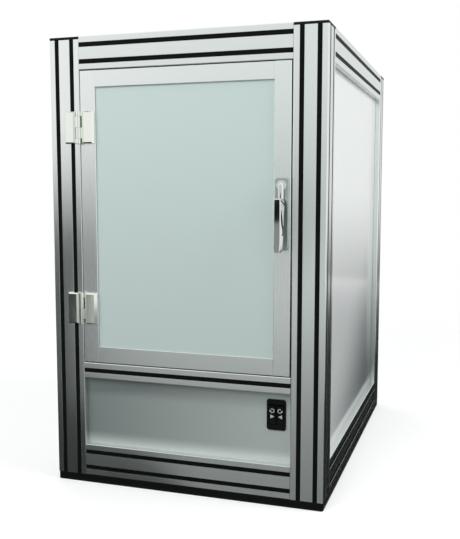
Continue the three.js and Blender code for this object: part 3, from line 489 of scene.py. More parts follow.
def moulded(name, tone, roughness, grain_turns, grain_depth, lift=1.6, gloss=0.2):
    """Moulded or painted black, with a fine grain and a faint bloom, which is duller and paler."""
    finish = Finish(name)
    grain = finish.noise((grain_turns,) * 3, grain_detail)
    bloom = finish.noise((bloom_turns,) * 3, bloom_detail)
    colour = finish.blend(bloom, tone, [share * lift + bloom_tone for share in tone])
    return finish.close(
        {
            "Base Color": colour,
            "Roughness": roughness + (bloom - 0.5) * bloom_roughness,
            "Specular IOR Level": gloss,
            "Normal": finish.bump(grain, grain_depth),
        }
    )


def lofted(form, rings):
    """Adds a closed skin over rings of points, each as long as the others."""
    rows = [[form.verts.new(point) for point in ring] for ring in rings]
    for lower, upper in zip(rows, rows[1:]):
        for index in range(len(lower)):
            after = (index + 1) % len(lower)
            form.faces.new((lower[index], lower[after], upper[after], upper[index]))
    form.faces.new(rows[0][::-1])
    form.faces.new(rows[-1])


def prism(form, outline, low, high, place=Matrix()):
    """Adds an outline of (across, up) points, pushed from one height to another."""
    lofted(form, [[place @ Vector((a, b, height)) for a, b in outline] for height in (low, high)])


def whole(form):
    """Turns every face of a finished form outwards."""
    bmesh.ops.recalc_face_normals(form, faces=form.faces)
    return form


strip_width = 8.0 * mm
strip_depth = 1.9 * mm
strip_sink = 0.35 * mm
strip_corner = 0.3 * mm
strip_hollow = 0.1 * mm
cell = 30 * mm
foot_level = 15 * mm
cap_level = 830 * mm
frame_top = 835 * mm
rail_middle = 219 * mm


def slot_lines():
    """Each outer slot's middle, its run, the way it faces and its length."""
    lines = []
    beam_across = 2 * (frame_half_width - 2 * cell)
    beam_along = 2 * (frame_half_depth - 2 * cell)
    post_middle = (foot_level + cap_level) / 2
    post_tall = cap_level - foot_level
    for x in (-1, 1):
        for y in (-1, 1):
            for shift in (-cell / 2, cell / 2):
                across = x * (frame_half_width - cell) + shift
                along = y * (frame_half_depth - cell) + shift
                lines.append(((across, y * frame_half_depth, post_middle), (0, 0, 1), (0, y, 0), post_tall))
                lines.append(((x * frame_half_width, along, post_middle), (0, 0, 1), (x, 0, 0), post_tall))
    for centre in (foot_level + cell, frame_top - cell):
        for shift in (-cell / 2, cell / 2):
            for way in (-1, 1):
                height = centre + shift
                lines.append(((0, way * frame_half_depth, height), (1, 0, 0), (0, way, 0), beam_across))
                lines.append(((way * frame_half_width, 0, height), (0, 1, 0), (way, 0, 0), beam_along))
    for way in (-1, 1):
        front = way * (frame_half_depth - cell / 2)
        aside = way * (frame_half_width - cell / 2)
        lines.append(((0, front, frame_top), (1, 0, 0), (0, 0, 1), beam_across))
        lines.append(((aside, 0, frame_top), (0, 1, 0), (0, 0, 1), beam_along))
    lines.append(((0, -frame_half_depth, rail_middle), (1, 0, 0), (0, -1, 0), beam_across))
    return lines


def fitting_tree():
    """Sets one fitting at every point of a mesh, turned and stretched as the point says."""
    tree = bpy.data.node_groups.new("set_fittings", "GeometryNodeTree")
    for name, kind in (("Places", "Geometry"), ("Fitting", "Object"), ("Finish", "Material")):
        tree.interface.new_socket(name, in_out="INPUT", socket_type=f"NodeSocket{kind}")
    tree.interface.new_socket("Fittings", in_out="OUTPUT", socket_type="NodeSocketGeometry")
    recipe = Recipe(tree)
    places, fitting, finish = (recipe.node("NodeGroupInput", {}, {}, out) for out in range(3))
    part = recipe.node("GeometryNodeObjectInfo", {}, {"Object": fitting}, "Geometry")
    vector = {"data_type": "FLOAT_VECTOR"}
    turn = recipe.node("GeometryNodeInputNamedAttribute", vector, {"Name": "turn"}, "Attribute")
    stretch = recipe.node("GeometryNodeInputNamedAttribute", vector, {"Name": "stretch"}, "Attribute")
    rotation = recipe.node("FunctionNodeEulerToRotation", {}, {"Euler": turn})
    sockets = {"Points": places, "Instance": part, "Rotation": rotation, "Scale": stretch}
    copies = recipe.node("GeometryNodeInstanceOnPoints", {}, sockets)
    real = recipe.node("GeometryNodeRealizeInstances", {}, {"Geometry": copies})
    done = recipe.node("GeometryNodeSetMaterial", {}, {"Geometry": real, "Material": finish})
    recipe.node("NodeGroupOutput", {}, {"Fittings": done})
    return tree


def grown(name, host, tree, inputs):
    """Runs a tree on a host object and gives its result as a plain object."""
    growth = host.modifiers.new(name, "NODES")
    growth.node_group = tree
    for item in tree.interface.items_tree:
        if item.item_type == "SOCKET" and item.in_out == "INPUT" and item.name in inputs:
            growth[item.identifier] = inputs[item.name]
    bpy.context.view_layer.update()
    graph = bpy.context.evaluated_depsgraph_get()
    mesh = bpy.data.meshes.new_from_object(host.evaluated_get(graph), depsgraph=graph)
    bpy.data.objects.remove(host)
    mesh.name = name
    made = bpy.data.objects.new(name, mesh)
    bpy.context.scene.collection.objects.link(made)
    return made


set_fittings = fitting_tree()


def fitted(name, form, places, material, body, smooth=gentle_angle):
    """One fitting at many places, each a point, its run, the way it faces and its stretch along the run."""
    fitting = shown(f"{name}_fitting", whole(form), material, smooth)
    mesh = bpy.data.meshes.new(f"{name}_places")
    mesh.from_pydata([place[0] for place in places], [], [])
    turns = mesh.attributes.new("turn", "FLOAT_VECTOR", "POINT")
    stretches = mesh.attributes.new("stretch", "FLOAT_VECTOR", "POINT")
    for index, (_, run, facing, length) in enumerate(places):
        back = -Vector(facing)
        along = Vector(run)
        turn = Matrix((back.cross(along), back, along)).transposed()
        turns.data[index].vector = turn.to_euler()
        stretches.data[index].vector = (1.0, 1.0, length)
    host = bpy.data.objects.new(f"{name}_host", mesh)
    bpy.context.scene.collection.objects.link(host)
    made = grown(name, host, set_fittings, {"Fitting": fitting, "Finish": material})
    bpy.data.objects.remove(fitting)
    return riding(made, body)


slot_black = moulded(
    "slot_strip_black",
    tone=(0.0035, 0.0045, 0.004),
    roughness=0.5,
    grain_turns=900.0,
    grain_depth=0.02 * mm,
    lift=1.5,
    gloss=0.04,
)
strip_half = strip_width / 2
strip_outline = [
    (-strip_half, strip_sink + strip_corner),
    (-strip_half + strip_corner, strip_sink),
    (-strip_half / 3, strip_sink + strip_hollow),
    (strip_half / 3, strip_sink + strip_hollow),
    (strip_half - strip_corner, strip_sink),
    (strip_half, strip_sink + strip_corner),
    (strip_half, strip_depth),
    (-strip_half, strip_depth),
]
unit_length = 1.0
strip_form = bmesh.new()
prism(strip_form, strip_outline, -unit_length / 2, unit_length / 2)
fitted("slot_strips", strip_form, slot_lines(), slot_black, "cabinet")

# The post caps: flat square covers moulded in black plastic, with a fine grain and rounded edges. Four pegs
# under each are pressed into the bores of its post.
cap_edge = 0.3 * mm
cap_black = moulded(
    "cap_black",
    tone=(0.007, 0.008, 0.008),
    roughness=0.5,
    grain_turns=700.0,
    grain_depth=0.04 * mm,
    lift=1.5,
    gloss=0.12,
)
for end in ends:
    for side in sides:
        eased(f"post_cap_{end}_{side}", f"cap_{end}_{side}", cap_black, cap_edge)

# The base: a thick board under the whole frame, faced in black laminate. Its edges are rounded over, and it
# shows as a black line round the foot.
base_edge = 0.8 * mm
base_black = moulded(
    "base_laminate",
    tone=(0.0035, 0.004, 0.004),
    roughness=0.5,
    grain_turns=420.0,
    grain_depth=0.05 * mm,
    lift=1.5,
    gloss=0.08,
)
eased("base_plate", "base_board", base_black, base_edge)

# The panels: white faced board in the slots of the frame. They are cool white in front and nearly neutral at
# the sides, rear and top, with the faint texture of a calendered sheet. Their colour carries painted shade,
# darker low down and towards the back: strong on the right side panel and faint on the others.
side_white = (0.88, 0.91, 0.905)
# Painted shade: the side board's darker tone low down and towards the back, and the heights it fades over.
side_painted_shade = (0.17, 0.205, 0.205)
side_shade_heights = (-0.29, 0.13)
# Fainter painted shade for the left, rear and top boards.
plain_shade_share = 0.9
lower_white = (0.71, 0.78, 0.76)
# Painted light and shade on the lower front panel: darker left and under the rail, lighter over the beam.
lower_painted_shade = (0.155, 0.19, 0.183)
lower_across = (-210 * mm, 170 * mm)
lower_bounce_heights = (72 * mm, 102 * mm)
lower_shadow_heights = (165 * mm, 190 * mm)
lower_start, lower_rise = 0.07, 0.49
painted_bounce_gain, painted_shadow_loss = 0.7, 0.22
board_edge = 0.4 * mm
# How fast the painted shade deepens towards the back.
shade_slant = 0.65
board_grain_turns = 260.0
board_grain_detail = 2.0
board_grain_depth = 0.02 * mm
board_cloud_turns = 3.5
board_cloud_share = 0.12
board_cloud_tone_share = 0.82
board_roughness = 0.42
board_cloud_roughness = 0.16
board_coat_roughness = 0.12


def shade_slope(low, high):
    """A fade of painted shade: the lit share grows with height and falls towards the back."""

    def fade(finish):
        level = finish.axis("Z") - (finish.axis("Y") + frame_half_depth) * shade_slant
        return finish.step(level, low, high)

    return fade


def lower_painted_light(finish):
    """Painted shade to the left and under the rail, and painted bounce light just over the beam."""
    height = finish.axis("Z")
    across = finish.ramp(finish.axis("X"), *lower_across) * lower_rise + lower_start
    foot = (1.0 - finish.step(height, *lower_bounce_heights)) * painted_bounce_gain
    return across + foot - finish.step(height, *lower_shadow_heights) * painted_shadow_loss


def faced(name, tone, painted_shade, fade, coat):
    """White faced board, darker with painted shade where its fade is low."""
    finish = Finish(name)
    grain = finish.noise((board_grain_turns,) * 3, board_grain_detail)
    cloud = finish.noise((board_cloud_turns,) * 3)
    base = finish.blend(fade(finish), painted_shade, tone)
    colour = finish.blend(cloud * board_cloud_share, base, share_of(tone, board_cloud_tone_share))
    return finish.close(
        {
            "Base Color": colour,
            "Roughness": board_roughness + (cloud - 0.5) * board_cloud_roughness,
            "Coat Weight": coat,
            "Coat Roughness": board_coat_roughness,
            "Normal": finish.bump(grain, board_grain_depth),
        }
    )


side_board = faced("side_board", side_white, side_painted_shade, shade_slope(*side_shade_heights), coat=0.9)
plain_painted_shade = share_of(side_white, plain_shade_share)
plain_board = faced("plain_board", side_white, plain_painted_shade, shade_slope(*side_shade_heights), coat=0.5)
lower_board = faced("lower_board", lower_white, lower_painted_shade, lower_painted_light, coat=0.2)
for side, board in (("left", plain_board), ("right", side_board)):
    eased(f"side_panel_{side}", f"board_{side}", board, board_edge)
for side in ("rear", "top"):
    eased(f"{side}_panel", f"board_{side}", plain_board, board_edge)
eased("lower_front_panel", "board_lower_front", lower_board, board_edge)

# The door: two stiles and two rails of hollow aluminium section, brushed along their length and butted at
# the corners, with a cool white panel in their groove. The panel's colour has painted shade, darker low down.
door_tone = (0.875, 0.915, 0.905)
door_white = (0.685, 0.82, 0.79)
# Painted shade on the door panel: its tone a little darker low down.
door_shade_share = 0.88
door_shade_heights = (0.17, 0.73)
door_edge = 0.5 * mm
stile_metal = extruded("door_stile_metal", along_z, door_tone, roughness=0.27)
rail_metal = extruded("door_rail_metal", along_x, door_tone, roughness=0.3)
for place in ("hinge", "latch"):
    eased(f"door_stile_{place}", f"door_stile_{place}_side", stile_metal, door_edge)
for place in ("top", "bottom"):
    eased(f"door_rail_{place}", f"door_rail_{place}_side", rail_metal, door_edge)
door_painted_shade = share_of(door_white, door_shade_share)
door_board = faced("door_board", door_white, door_painted_shade, shade_slope(*door_shade_heights), coat=0.25)
eased("door_panel", "door_board_panel", door_board, board_edge)

# The hinges: two cast covers each, bevelled all round and nickel plated, with four knuckles on short necks
# that interleave round a steel pin. The two shorter knuckles stand at the ends.
hinge_axis = Vector((-199.5, -367.0, 0.0)) * mm
hinge_middles = {"upper": 671.5 * mm, "lower": 337.5 * mm}
hinge_height = 58 * mm
barrel_stand = 7 * mm
barrel_radius = 4.4 * mm
barrel_sides = 40
cover_stand = 8 * mm
cover_end_bevel = 2.2 * mm
cover_section = [(6.6, 0.0), (30.0, 0.0), (30.0, 2.7), (26.0, 8.0), (10.5, 8.0), (6.6, 6.2)]
neck_section = [(1.0, 0.8), (9.0, 0.8), (9.0, 6.0), (1.0, 6.0)]
knuckle_levels = [level * mm for level in (0, 9, 29, 49, 58)]
knuckle_gap = 0.4 * mm
hinge_edge = 0.4 * mm
hinge_smooth = 18.0
hinge_corner = 20.0
pin_radius = 2.0 * mm
pin_head_radius = 3.0 * mm
pin_head_round = 0.45 * mm
pin_head_high = 1.2 * mm
pin_seat = 0.3 * mm
rubbed_turns = (300.0, 300.0, 60.0)
rubbed_detail = 4.0
rubbed_roughness_share = 0.7
rubbed_depth = 0.008 * mm
tarnish_turns = 25.0
tarnish_tone_share = 0.7


def plated(name, tone, roughness, wear=0.1):
    """Plated metal with fine rubbed marks and a faint tarnish."""
    finish = Finish(name)
    rubbed = finish.noise(rubbed_turns, rubbed_detail)
    tarnish = finish.noise((tarnish_turns,) * 3)
    return finish.close(
        {
            "Base Color": finish.blend(tarnish * wear, tone, share_of(tone, tarnish_tone_share)),
            "Metallic": 1.0,
            "Roughness": roughness + (rubbed - 0.5) * roughness * rubbed_roughness_share,
            "Normal": finish.bump(rubbed, rubbed_depth),
        }
    )


nickel = plated("hinge_nickel", (0.85, 0.88, 0.815), roughness=0.09)


def circle(radius, count):
    angles = [2 * math.pi * index / count for index in range(count)]
    return [(radius * math.cos(angle), radius * math.sin(angle)) for angle in angles]


def planed(form, point, facing):
    """Cuts off what lies beyond a plane and closes the cut."""
    parts = form.verts[:] + form.edges[:] + form.faces[:]
    cut = bmesh.ops.bisect_plane(form, geom=parts, plane_co=point, plane_no=facing, clear_outer=True)
    rim = [item for item in cut["geom_cut"] if isinstance(item, bmesh.types.BMEdge)]
    bmesh.ops.contextual_create(form, geom=rim)


def united(name, forms, material, smooth=gentle_angle):
    """Several closed forms joined to one skin."""
    pieces = [shown(f"{name}_{index}", whole(form), material, smooth) for index, form in enumerate(forms)]
    for piece in pieces[1:]:
        union = pieces[0].modifiers.new("union", "BOOLEAN")
        union.operation = "UNION"
        union.solver = "EXACT"
        union.object = piece
    bpy.context.view_layer.update()
    graph = bpy.context.evaluated_depsgraph_get()
    mesh = bpy.data.meshes.new_from_object(pieces[0].evaluated_get(graph), depsgraph=graph)
    for piece in pieces:
        bpy.data.objects.remove(piece)
    form = bmesh.new()
    form.from_mesh(mesh)
    bmesh.ops.remove_doubles(form, verts=form.verts, dist=weld_distance)
    bmesh.ops.dissolve_limit(form, angle_limit=flat_angle, verts=form.verts, edges=form.edges)
    return shown(name, form, material, smooth)


def turned(profile, place, count):
    """A form turned from (radius, height) points about a place's own Z axis."""
    form = bmesh.new()
    rings = [[(*point, height) for point in circle(radius, count)] for radius, height in profile]
    lofted(form, [[place @ Vector(point) for point in ring] for ring in rings])
    return whole(form)


def hinge_leaf(side, bottom):
    """The cover on one side of the pin, and the knuckles and necks that belong to it."""
    foot = hinge_axis + Vector((0, 0, bottom))
    place = Matrix.Translation(foot)

    def section(points):
        placed = [(side * across * mm, barrel_stand - out * mm) for across, out in points]
        return placed if side > 0 else placed[::-1]

    cover = bmesh.new()
    prism(cover, section(cover_section), 0.0, hinge_height, place)
    face = barrel_stand - cover_stand
    for level, way in ((cover_end_bevel, -1), (hinge_height - cover_end_bevel, 1)):
        planed(cover, foot + Vector((0, face, level)), (0, -1, way))
    forms = [cover]
    last = len(knuckle_levels) - 2
    for index, (low, high) in enumerate(zip(knuckle_levels, knuckle_levels[1:])):
        if (index % 2 == 0) == (side < 0):
            low += knuckle_gap / 2 if index > 0 else 0.0
            high -= knuckle_gap / 2 if index < last else 0.0
            neck, barrel = bmesh.new(), bmesh.new()
            prism(neck, section(neck_section), low, high, place)
            prism(barrel, circle(barrel_radius, barrel_sides), low, high, place)
            forms += [barrel, neck]
    return forms


def hinge_pin(bottom):
    """A round pin with a low domed head at each end."""
    half = [
        (pin_radius, pin_seat),
        (pin_head_radius, pin_seat),
        (pin_head_radius, pin_head_high - pin_head_round),
        (pin_head_radius - pin_head_round, pin_head_high),
        (pin_head_round, pin_head_high),
    ]
    profile = [(radius, -out) for radius, out in half[::-1]]
    profile += [(radius, hinge_height + out) for radius, out in half]
    return turned(profile, Matrix.Translation(hinge_axis + Vector((0, 0, bottom))), barrel_sides)


for place, middle in hinge_middles.items():
    bottom = middle - hinge_height / 2
    for side, leaf, body in ((-1, "post", "cabinet"), (1, "door", "door")):
        made = united(f"{place}_hinge_{leaf}_cover", hinge_leaf(side, bottom), nickel, hinge_smooth)
        round_edges(made, hinge_edge, corner=hinge_corner)
        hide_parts(f"{place}_hinge_{leaf}_leaf")
        riding(made, body)
    pin = shown(f"{place}_hinge_steel_pin", hinge_pin(bottom), nickel)
    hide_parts(f"{place}_hinge_pin")
    riding(pin, frame["nodes"][f"{place}_hinge_pin"]["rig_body"])

# The handle: a long plate in satin chrome and a cast lever in polished chrome. The lever's flat-fronted grip
# hangs by a rounded neck from a collar, on a square spindle that carries the latch's cam behind the door.
spindle_place = Vector((183.0, -360.0, 565.5)) * mm
facing_front = Matrix.Translation(spindle_place) @ Matrix.Rotation(math.radians(90), 4, "X")
plate_width = 24 * mm
plate_height = 124 * mm
plate_rise = 13.7 * mm
plate_corner = 4.5 * mm
plate_thickness = 5 * mm
plate_edge = 1.4 * mm
plate_corner_angle = 50.0
corner_steps = 8
satin = plated("handle_satin", (0.52, 0.56, 0.55), roughness=0.24)
chrome = plated("handle_chrome", (0.82, 0.84, 0.835), roughness=0.045, wear=0.05)


def rounded_rectangle(width, height, radius, centre):
    """Points round a rectangle with round corners, from its right side on."""
    points = []
    corners = ((1, 1), (-1, 1), (-1, -1), (1, -1))
    for turn, (x, y) in enumerate(corners):
        for index in range(corner_steps + 1):
            angle = math.pi / 2 * (turn + index / corner_steps)
            across = centre[0] + x * (width / 2 - radius) + radius * math.cos(angle)
            points.append((across, centre[1] + y * (height / 2 - radius) + radius * math.sin(angle)))
    return points


plate_form = bmesh.new()
plate_middle = (0.0, plate_rise - plate_height / 2)
plate_outline = rounded_rectangle(plate_width, plate_height, plate_corner, plate_middle)
prism(plate_form, plate_outline, 0.0, plate_thickness, facing_front)
plate = shown("handle_plate", whole(plate_form), satin)
round_edges(plate, plate_edge, segments=4, corner=plate_corner_angle)
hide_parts("handle_escutcheon")
riding(plate, frame["nodes"]["handle_escutcheon"]["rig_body"])

collar_sides = 48
collar_profile = [(9.0, 5.3), (9.0, 7.6), (8.8, 8.1), (8.3, 8.3)]
shoulder_profile = [(5.6, -24.7), (5.6, -20.3)]
neck_width = 10 * mm
neck_top = 5.5 * mm
neck_foot = -26 * mm
neck_stand = (6.5 * mm, 14.3 * mm)
neck_round = 4.2 * mm
neck_round_steps = 7
grip_top = 21.5 * mm
grip_length = 90.5 * mm
grip_front = 35.4 * mm
grip_back = (8.0 * mm, 26.5 * mm)
grip_back_fall = 20 * mm
front_half = 6.5 * mm
front_half_gain = 0.16
back_half = 8.8 * mm
back_half_gain = 0.42
half_fall = 7 * mm
grip_corner = 1.7 * mm
tip_narrow_share = 0.3
tip_narrow_power = 8.0
grip_rings = 44
end_rings = 6
lever_smooth = 30.0
spindle_half = 3.5 * mm
spindle_back = -31 * mm
spindle_front = 10 * mm


def grip_ring(fallen):
    """The grip's section so far under its top: flat in front, wider behind, with rounded corners."""
    past = grip_top + fallen
    tip = 1 - tip_narrow_share * (fallen / grip_length) ** tip_narrow_power
    front = front_half * (1 - front_half_gain * math.exp(-fallen / half_fall)) * tip
    wide = back_half * (1 - back_half_gain * math.exp(-fallen / half_fall)) * tip
    back = grip_back[1] - (grip_back[1] - grip_back[0]) * math.exp(-fallen / grip_back_fall)
    near_end = min(fallen, grip_length - fallen, grip_corner)
    inset = grip_corner - math.sqrt(grip_corner**2 - (grip_corner - near_end) ** 2)
    corners = ((1, front, grip_front), (-1, front, grip_front), (-1, wide, back), (1, wide, back))
    ring = []
    for turn, (side, half_width, stand) in enumerate(corners):
        inward = 1 if stand == back else -1
        for index in range(corner_steps + 1):
            angle = math.pi / 2 * (turn + index / corner_steps)
            across = side * (half_width - grip_corner) + (grip_corner - inset) * math.cos(angle)
            out = stand + inward * grip_corner + (grip_corner - inset) * math.sin(angle)
            ring.append(facing_front @ Vector((across, -past, out)))
    return ring


def neck_rings():
    """The neck's rings from the collar out: straight, then rounded over into its front."""
    rises = [math.pi / 2 * step / neck_round_steps for step in range(neck_round_steps)]
    insets = [0.0] + [neck_round * (1 - math.cos(angle)) for angle in rises]
    stands = [neck_stand[0]] + [neck_stand[1] - neck_round * (1 - math.sin(angle)) for angle in rises]
    rings = []
    for inset, stand in zip(insets, stands):
        width, height = neck_width - 2 * inset, neck_top - neck_foot - 2 * inset
        outline = rounded_rectangle(width, height, width / 2, (0.0, (neck_top + neck_foot) / 2))
        rings.append([facing_front @ Vector((*point, stand)) for point in outline])
    return rings


def lever_forms():
    """The grip, the neck, the spindle, the collar and the shoulder behind it, each a closed form."""
    neck, grip, spindle = bmesh.new(), bmesh.new(), bmesh.new()
    rounds = []
    for profile in (collar_profile, shoulder_profile):
        sizes = [(radius * mm, stand * mm) for radius, stand in profile]
        rounds.append(turned(sizes, facing_front, collar_sides))
    lofted(neck, neck_rings())
    straight = grip_length - 2 * grip_corner
    middle = [grip_corner + straight * index / grip_rings for index in range(grip_rings + 1)]
    easing = [grip_corner * (1 - math.cos(math.pi / 2 * index / end_rings)) for index in range(end_rings)]
    falls = easing + middle + [grip_length - fallen for fallen in easing[::-1]]
    lofted(grip, [grip_ring(fallen) for fallen in falls])
    corners = [(x * spindle_half, y * spindle_half) for x, y in ((-1, -1), (1, -1), (1, 1), (-1, 1))]
    prism(spindle, corners, spindle_back, spindle_front, facing_front)
    return [grip, neck, spindle, *rounds]


lever = united("handle_lever_casting", lever_forms(), chrome, lever_smooth)
flatten_faces(lever)
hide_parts("handle_lever")
riding(lever, "handle")

# The latch and the stops: a flat steel cam and the angle it turns behind, and two small steel blocks that
# the door closes on, all zinc plated.
zinc = plated("zinc_steel", (0.60, 0.61, 0.60), roughness=0.34, wear=0.3)
eased("latch_cam", "latch_cam_steel", zinc, edge=0.4 * mm)
eased("latch_keeper", "latch_keeper_angle", zinc, edge=0.3 * mm)
for place in ("top", "bottom"):
    eased(f"door_stop_{place}", f"door_stop_{place}_block", zinc, edge=0.5 * mm)

# The switch: a black bezel in the lower panel with two rockers, one for each way the table turns. Each
# rocker carries two white printed marks, a turning arrow and a pointer, which lie on its dished face.
switch_black = moulded(
    "switch_black",
    tone=(0.005, 0.0055, 0.0055),
    roughness=0.36,
    grain_turns=500.0,
    grain_depth=0.03 * mm,
    lift=1.5,
    gloss=0.06,
)
rocker_black = moulded(
    "rocker_black",
    tone=(0.005, 0.0055, 0.006),
    roughness=0.32,
    grain_turns=650.0,
    grain_depth=0.02 * mm,
    lift=1.5,
    gloss=0.08,
)
rocker_middles = {"forward": 165.5 * mm, "reverse": 179.5 * mm}
arrow_level = 170.5 * mm
pointer_level = 159.5 * mm
arrow_radius = 3.5 * mm
arrow_half = 0.75 * mm
arrow_start = 50.0
arrow_sweep = 285.0
arrow_steps = 30
arrow_head_half = 2.1 * mm
arrow_head_length = 3.4 * mm
pointer_half = 3.6 * mm
pointer_length = 7.2 * mm
head_steps = 8
head_narrowing = 0.97
band_columns = 4
ink_proud = 0.06 * mm
ink_deep = 0.05 * mm
ink_turns = 900.0
ink_detail = 2.0
ink_patch_share = 0.35
ink_patch_tone_share = 0.7
ink_roughness = 0.45
ink_patch_roughness = 0.1
probe_start = -1.0


def white_ink(name, tone):
    """White printing ink, a little uneven."""
    finish = Finish(name)
    patch = finish.noise((ink_turns,) * 3, ink_detail)
    colour = finish.blend(patch * ink_patch_share, tone, share_of(tone, ink_patch_tone_share))
    roughness = ink_roughness + (patch - 0.5) * ink_patch_roughness
    return finish.close({"Base Color": colour, "Roughness": roughness})


def band(form, stations, surface):
    """Lays a band on a surface through (across, up, half width) stations. It is closed all round."""
    layers = {ink_proud: [], -ink_deep: []}
    for index, (across, up, half_width) in enumerate(stations):
        before, after = stations[max(index - 1, 0)], stations[min(index + 1, len(stations) - 1)]
        run = Vector((after[0] - before[0], after[1] - before[1])).normalized()
        for proud, rows in layers.items():
            row = []
            for column in range(band_columns + 1):
                aside = half_width * (2 * column / band_columns - 1)
                x, z = across - run.y * aside, up + run.x * aside
                row.append(form.verts.new((x, surface(x, z) - proud, z)))
            rows.append(row)
    top, under = layers.values()
    last = len(stations) - 1
    for index in range(last):
        for column in range(band_columns):
            for rows in (top, under):
                near, far = rows[index], rows[index + 1]
                form.faces.new((near[column], near[column + 1], far[column + 1], far[column]))
        for column in (0, band_columns):
            near, far = ((top[place][column], under[place][column]) for place in (index, index + 1))
            form.faces.new((near[0], far[0], far[1], near[1]))
    for index in (0, last):
        for column in range(band_columns):
            above, below = top[index], under[index]
            form.faces.new((above[column], above[column + 1], below[column + 1], below[column]))


def pointed(start, run, length, half_width):
    """Stations of a pointer that starts full width and ends in a point."""
    stations = []
    for index in range(head_steps + 1):
        share = index / head_steps
        place = Vector(start) + Vector(run) * length * share
        stations.append((place.x, place.y, half_width * (1 - head_narrowing * share)))
    return stations


def turning_arrow(middle, level, way):
    """Stations of an arrow's bow and of its head. Way 1 turns to the right and way -1 to the left."""
    bow = []
    for index in range(arrow_steps + 1):
        angle = math.radians(arrow_start + arrow_sweep * index / arrow_steps)
        across = middle - way * arrow_radius * math.cos(angle)
        bow.append((across, level + arrow_radius * math.sin(angle), arrow_half))
    last = math.radians(arrow_start + arrow_sweep)
    run = (way * math.sin(last), math.cos(last))
    return bow, pointed(bow[-1][:2], run, arrow_head_length, arrow_head_half)


def printed_marks(way, side, carrier):
    """A turning arrow over a pointer, laid on one rocker's face."""
    tree = BVHTree.FromObject(carrier, bpy.context.evaluated_depsgraph_get())
    middle = rocker_middles[way]

    def surface(x, z):
        return tree.ray_cast(Vector((x, probe_start, z)), Vector((0, 1, 0)))[0].y

    form = bmesh.new()
    for stations in turning_arrow(middle, arrow_level, side):
        band(form, stations, surface)
    pointer_start = (middle - side * pointer_length / 2, pointer_level)
    band(form, pointed(pointer_start, (side, 0.0), pointer_length, pointer_half), surface)
    marks = shown(f"switch_marks_{way}", whole(form), ink)
    riding(marks, f"{way}_rocker")


ink = white_ink("switch_ink", (0.60, 0.61, 0.60))
eased("switch_bezel", "switch_frame", switch_black, edge=0.35 * mm)
rocker_edge = 0.5 * mm
rockers = {}
for way in rocker_middles:
    name = f"switch_rocker_{way}"
    rockers[way] = eased(f"rocker_{way}", name, rocker_black, rocker_edge, segments=3)
bpy.context.view_layer.update()
for way, side in (("forward", 1), ("reverse", -1)):
    printed_marks(way, side, rockers[way])

# The deck and the turntable: a painted deck plate that ten cap screws hold, a turned and black anodised
# platter with white marker dots for the scanner, and the wheel and pinion that drive it from under the deck.
deck_paint = moulded(
    "deck_paint", tone=(0.035, 0.036, 0.038), roughness=0.55, grain_turns=340.0, grain_depth=0.08 * mm
)
eased("deck_plate", "deck_board", deck_paint, edge=0.3 * mm)
platter_black = moulded(
    "platter_black", tone=(0.022, 0.022, 0.024), roughness=0.38, grain_turns=200.0, grain_depth=0.03 * mm
)
eased("turntable_platter", "platter_disc", platter_black, edge=0.4 * mm, smooth=20.0)
gear = plated("gear_steel", (0.55, 0.55, 0.54), roughness=0.36, wear=0.3)
for node in ("drive_wheel", "drive_pinion"):
    eased(node, f"{node}_steel", gear, edge=0.15 * mm, segments=1)
eased("bearing_housing", "bearing_housing_turned", deck_paint, edge=0.4 * mm)
eased("gearmotor", "gearmotor_case", gear, edge=0.4 * mm)

platter_middle = Vector((0.0, -80.0, 239.2)) * mm
dot_radius = 3 * mm
dot_edge_radius = 2.9 * mm
dot_height = 0.12 * mm
dot_sides = 28
dot_circles = ((118 * mm, 24, 0.0), (84 * mm, 14, 7.0), (50 * mm, 8, 19.0))
dot_profile = [(dot_radius, -dot_height), (dot_radius, 0.0), (dot_edge_radius, dot_height)]
dot_form = turned(dot_profile, Matrix(), dot_sides)
dots = []
for radius, count, first in dot_circles:
    for index in range(count):
        angle = math.radians(first + 360 * index / count)
        place = platter_middle + radius * Vector((math.cos(angle), math.sin(angle), 0))
        dots.append((place, (0, 0, 1), (0, -1, 0), 1.0))
marker_white = white_ink("marker_white", (0.72, 0.73, 0.72))
fitted("platter_marker_dots", dot_form, dots, marker_white, "turntable")

screw_shares = [(1.0, -0.1), (1.0, 0.38), (0.93, 0.5), (0.84, 0.55)]
socket_shares = [(0.52, 0.55), (0.5, 0.16)]
screw_sides = 36


def screw_head(radius):
    """A low cap screw's head that stands out along -Y, with a hexagon socket."""
    form = bmesh.new()
    rings = []
    for shares, hexagon in ((screw_shares, False), (socket_shares, True)):
        for wide, out in shares:
            ring = []
            for index in range(screw_sides):
                angle = 2 * math.pi * index / screw_sides
                part = angle % (math.pi / 3) - math.pi / 6
                reach = wide * radius * (math.cos(math.pi / 6) / math.cos(part) if hexagon else 1.0)
                ring.append((reach * math.cos(angle), -out * radius, reach * math.sin(angle)))
            rings.append(ring)
    lofted(form, rings)
    return form


deck_screw_radius = 4.5 * mm
deck_screw_across = 215 * mm
deck_screw_reach = 280 * mm
deck_screw_count = 5
deck_top = 221.2 * mm
deck_screws = []
for side in (-1, 1):
    for index in range(deck_screw_count):
        along = deck_screw_reach * (2 * index / (deck_screw_count - 1) - 1)
        deck_screws.append(((side * deck_screw_across, along, deck_top), (1, 0, 0), (0, 0, 1), 1.0))
fitted("deck_screws", screw_head(deck_screw_radius), deck_screws, zinc, "cabinet")

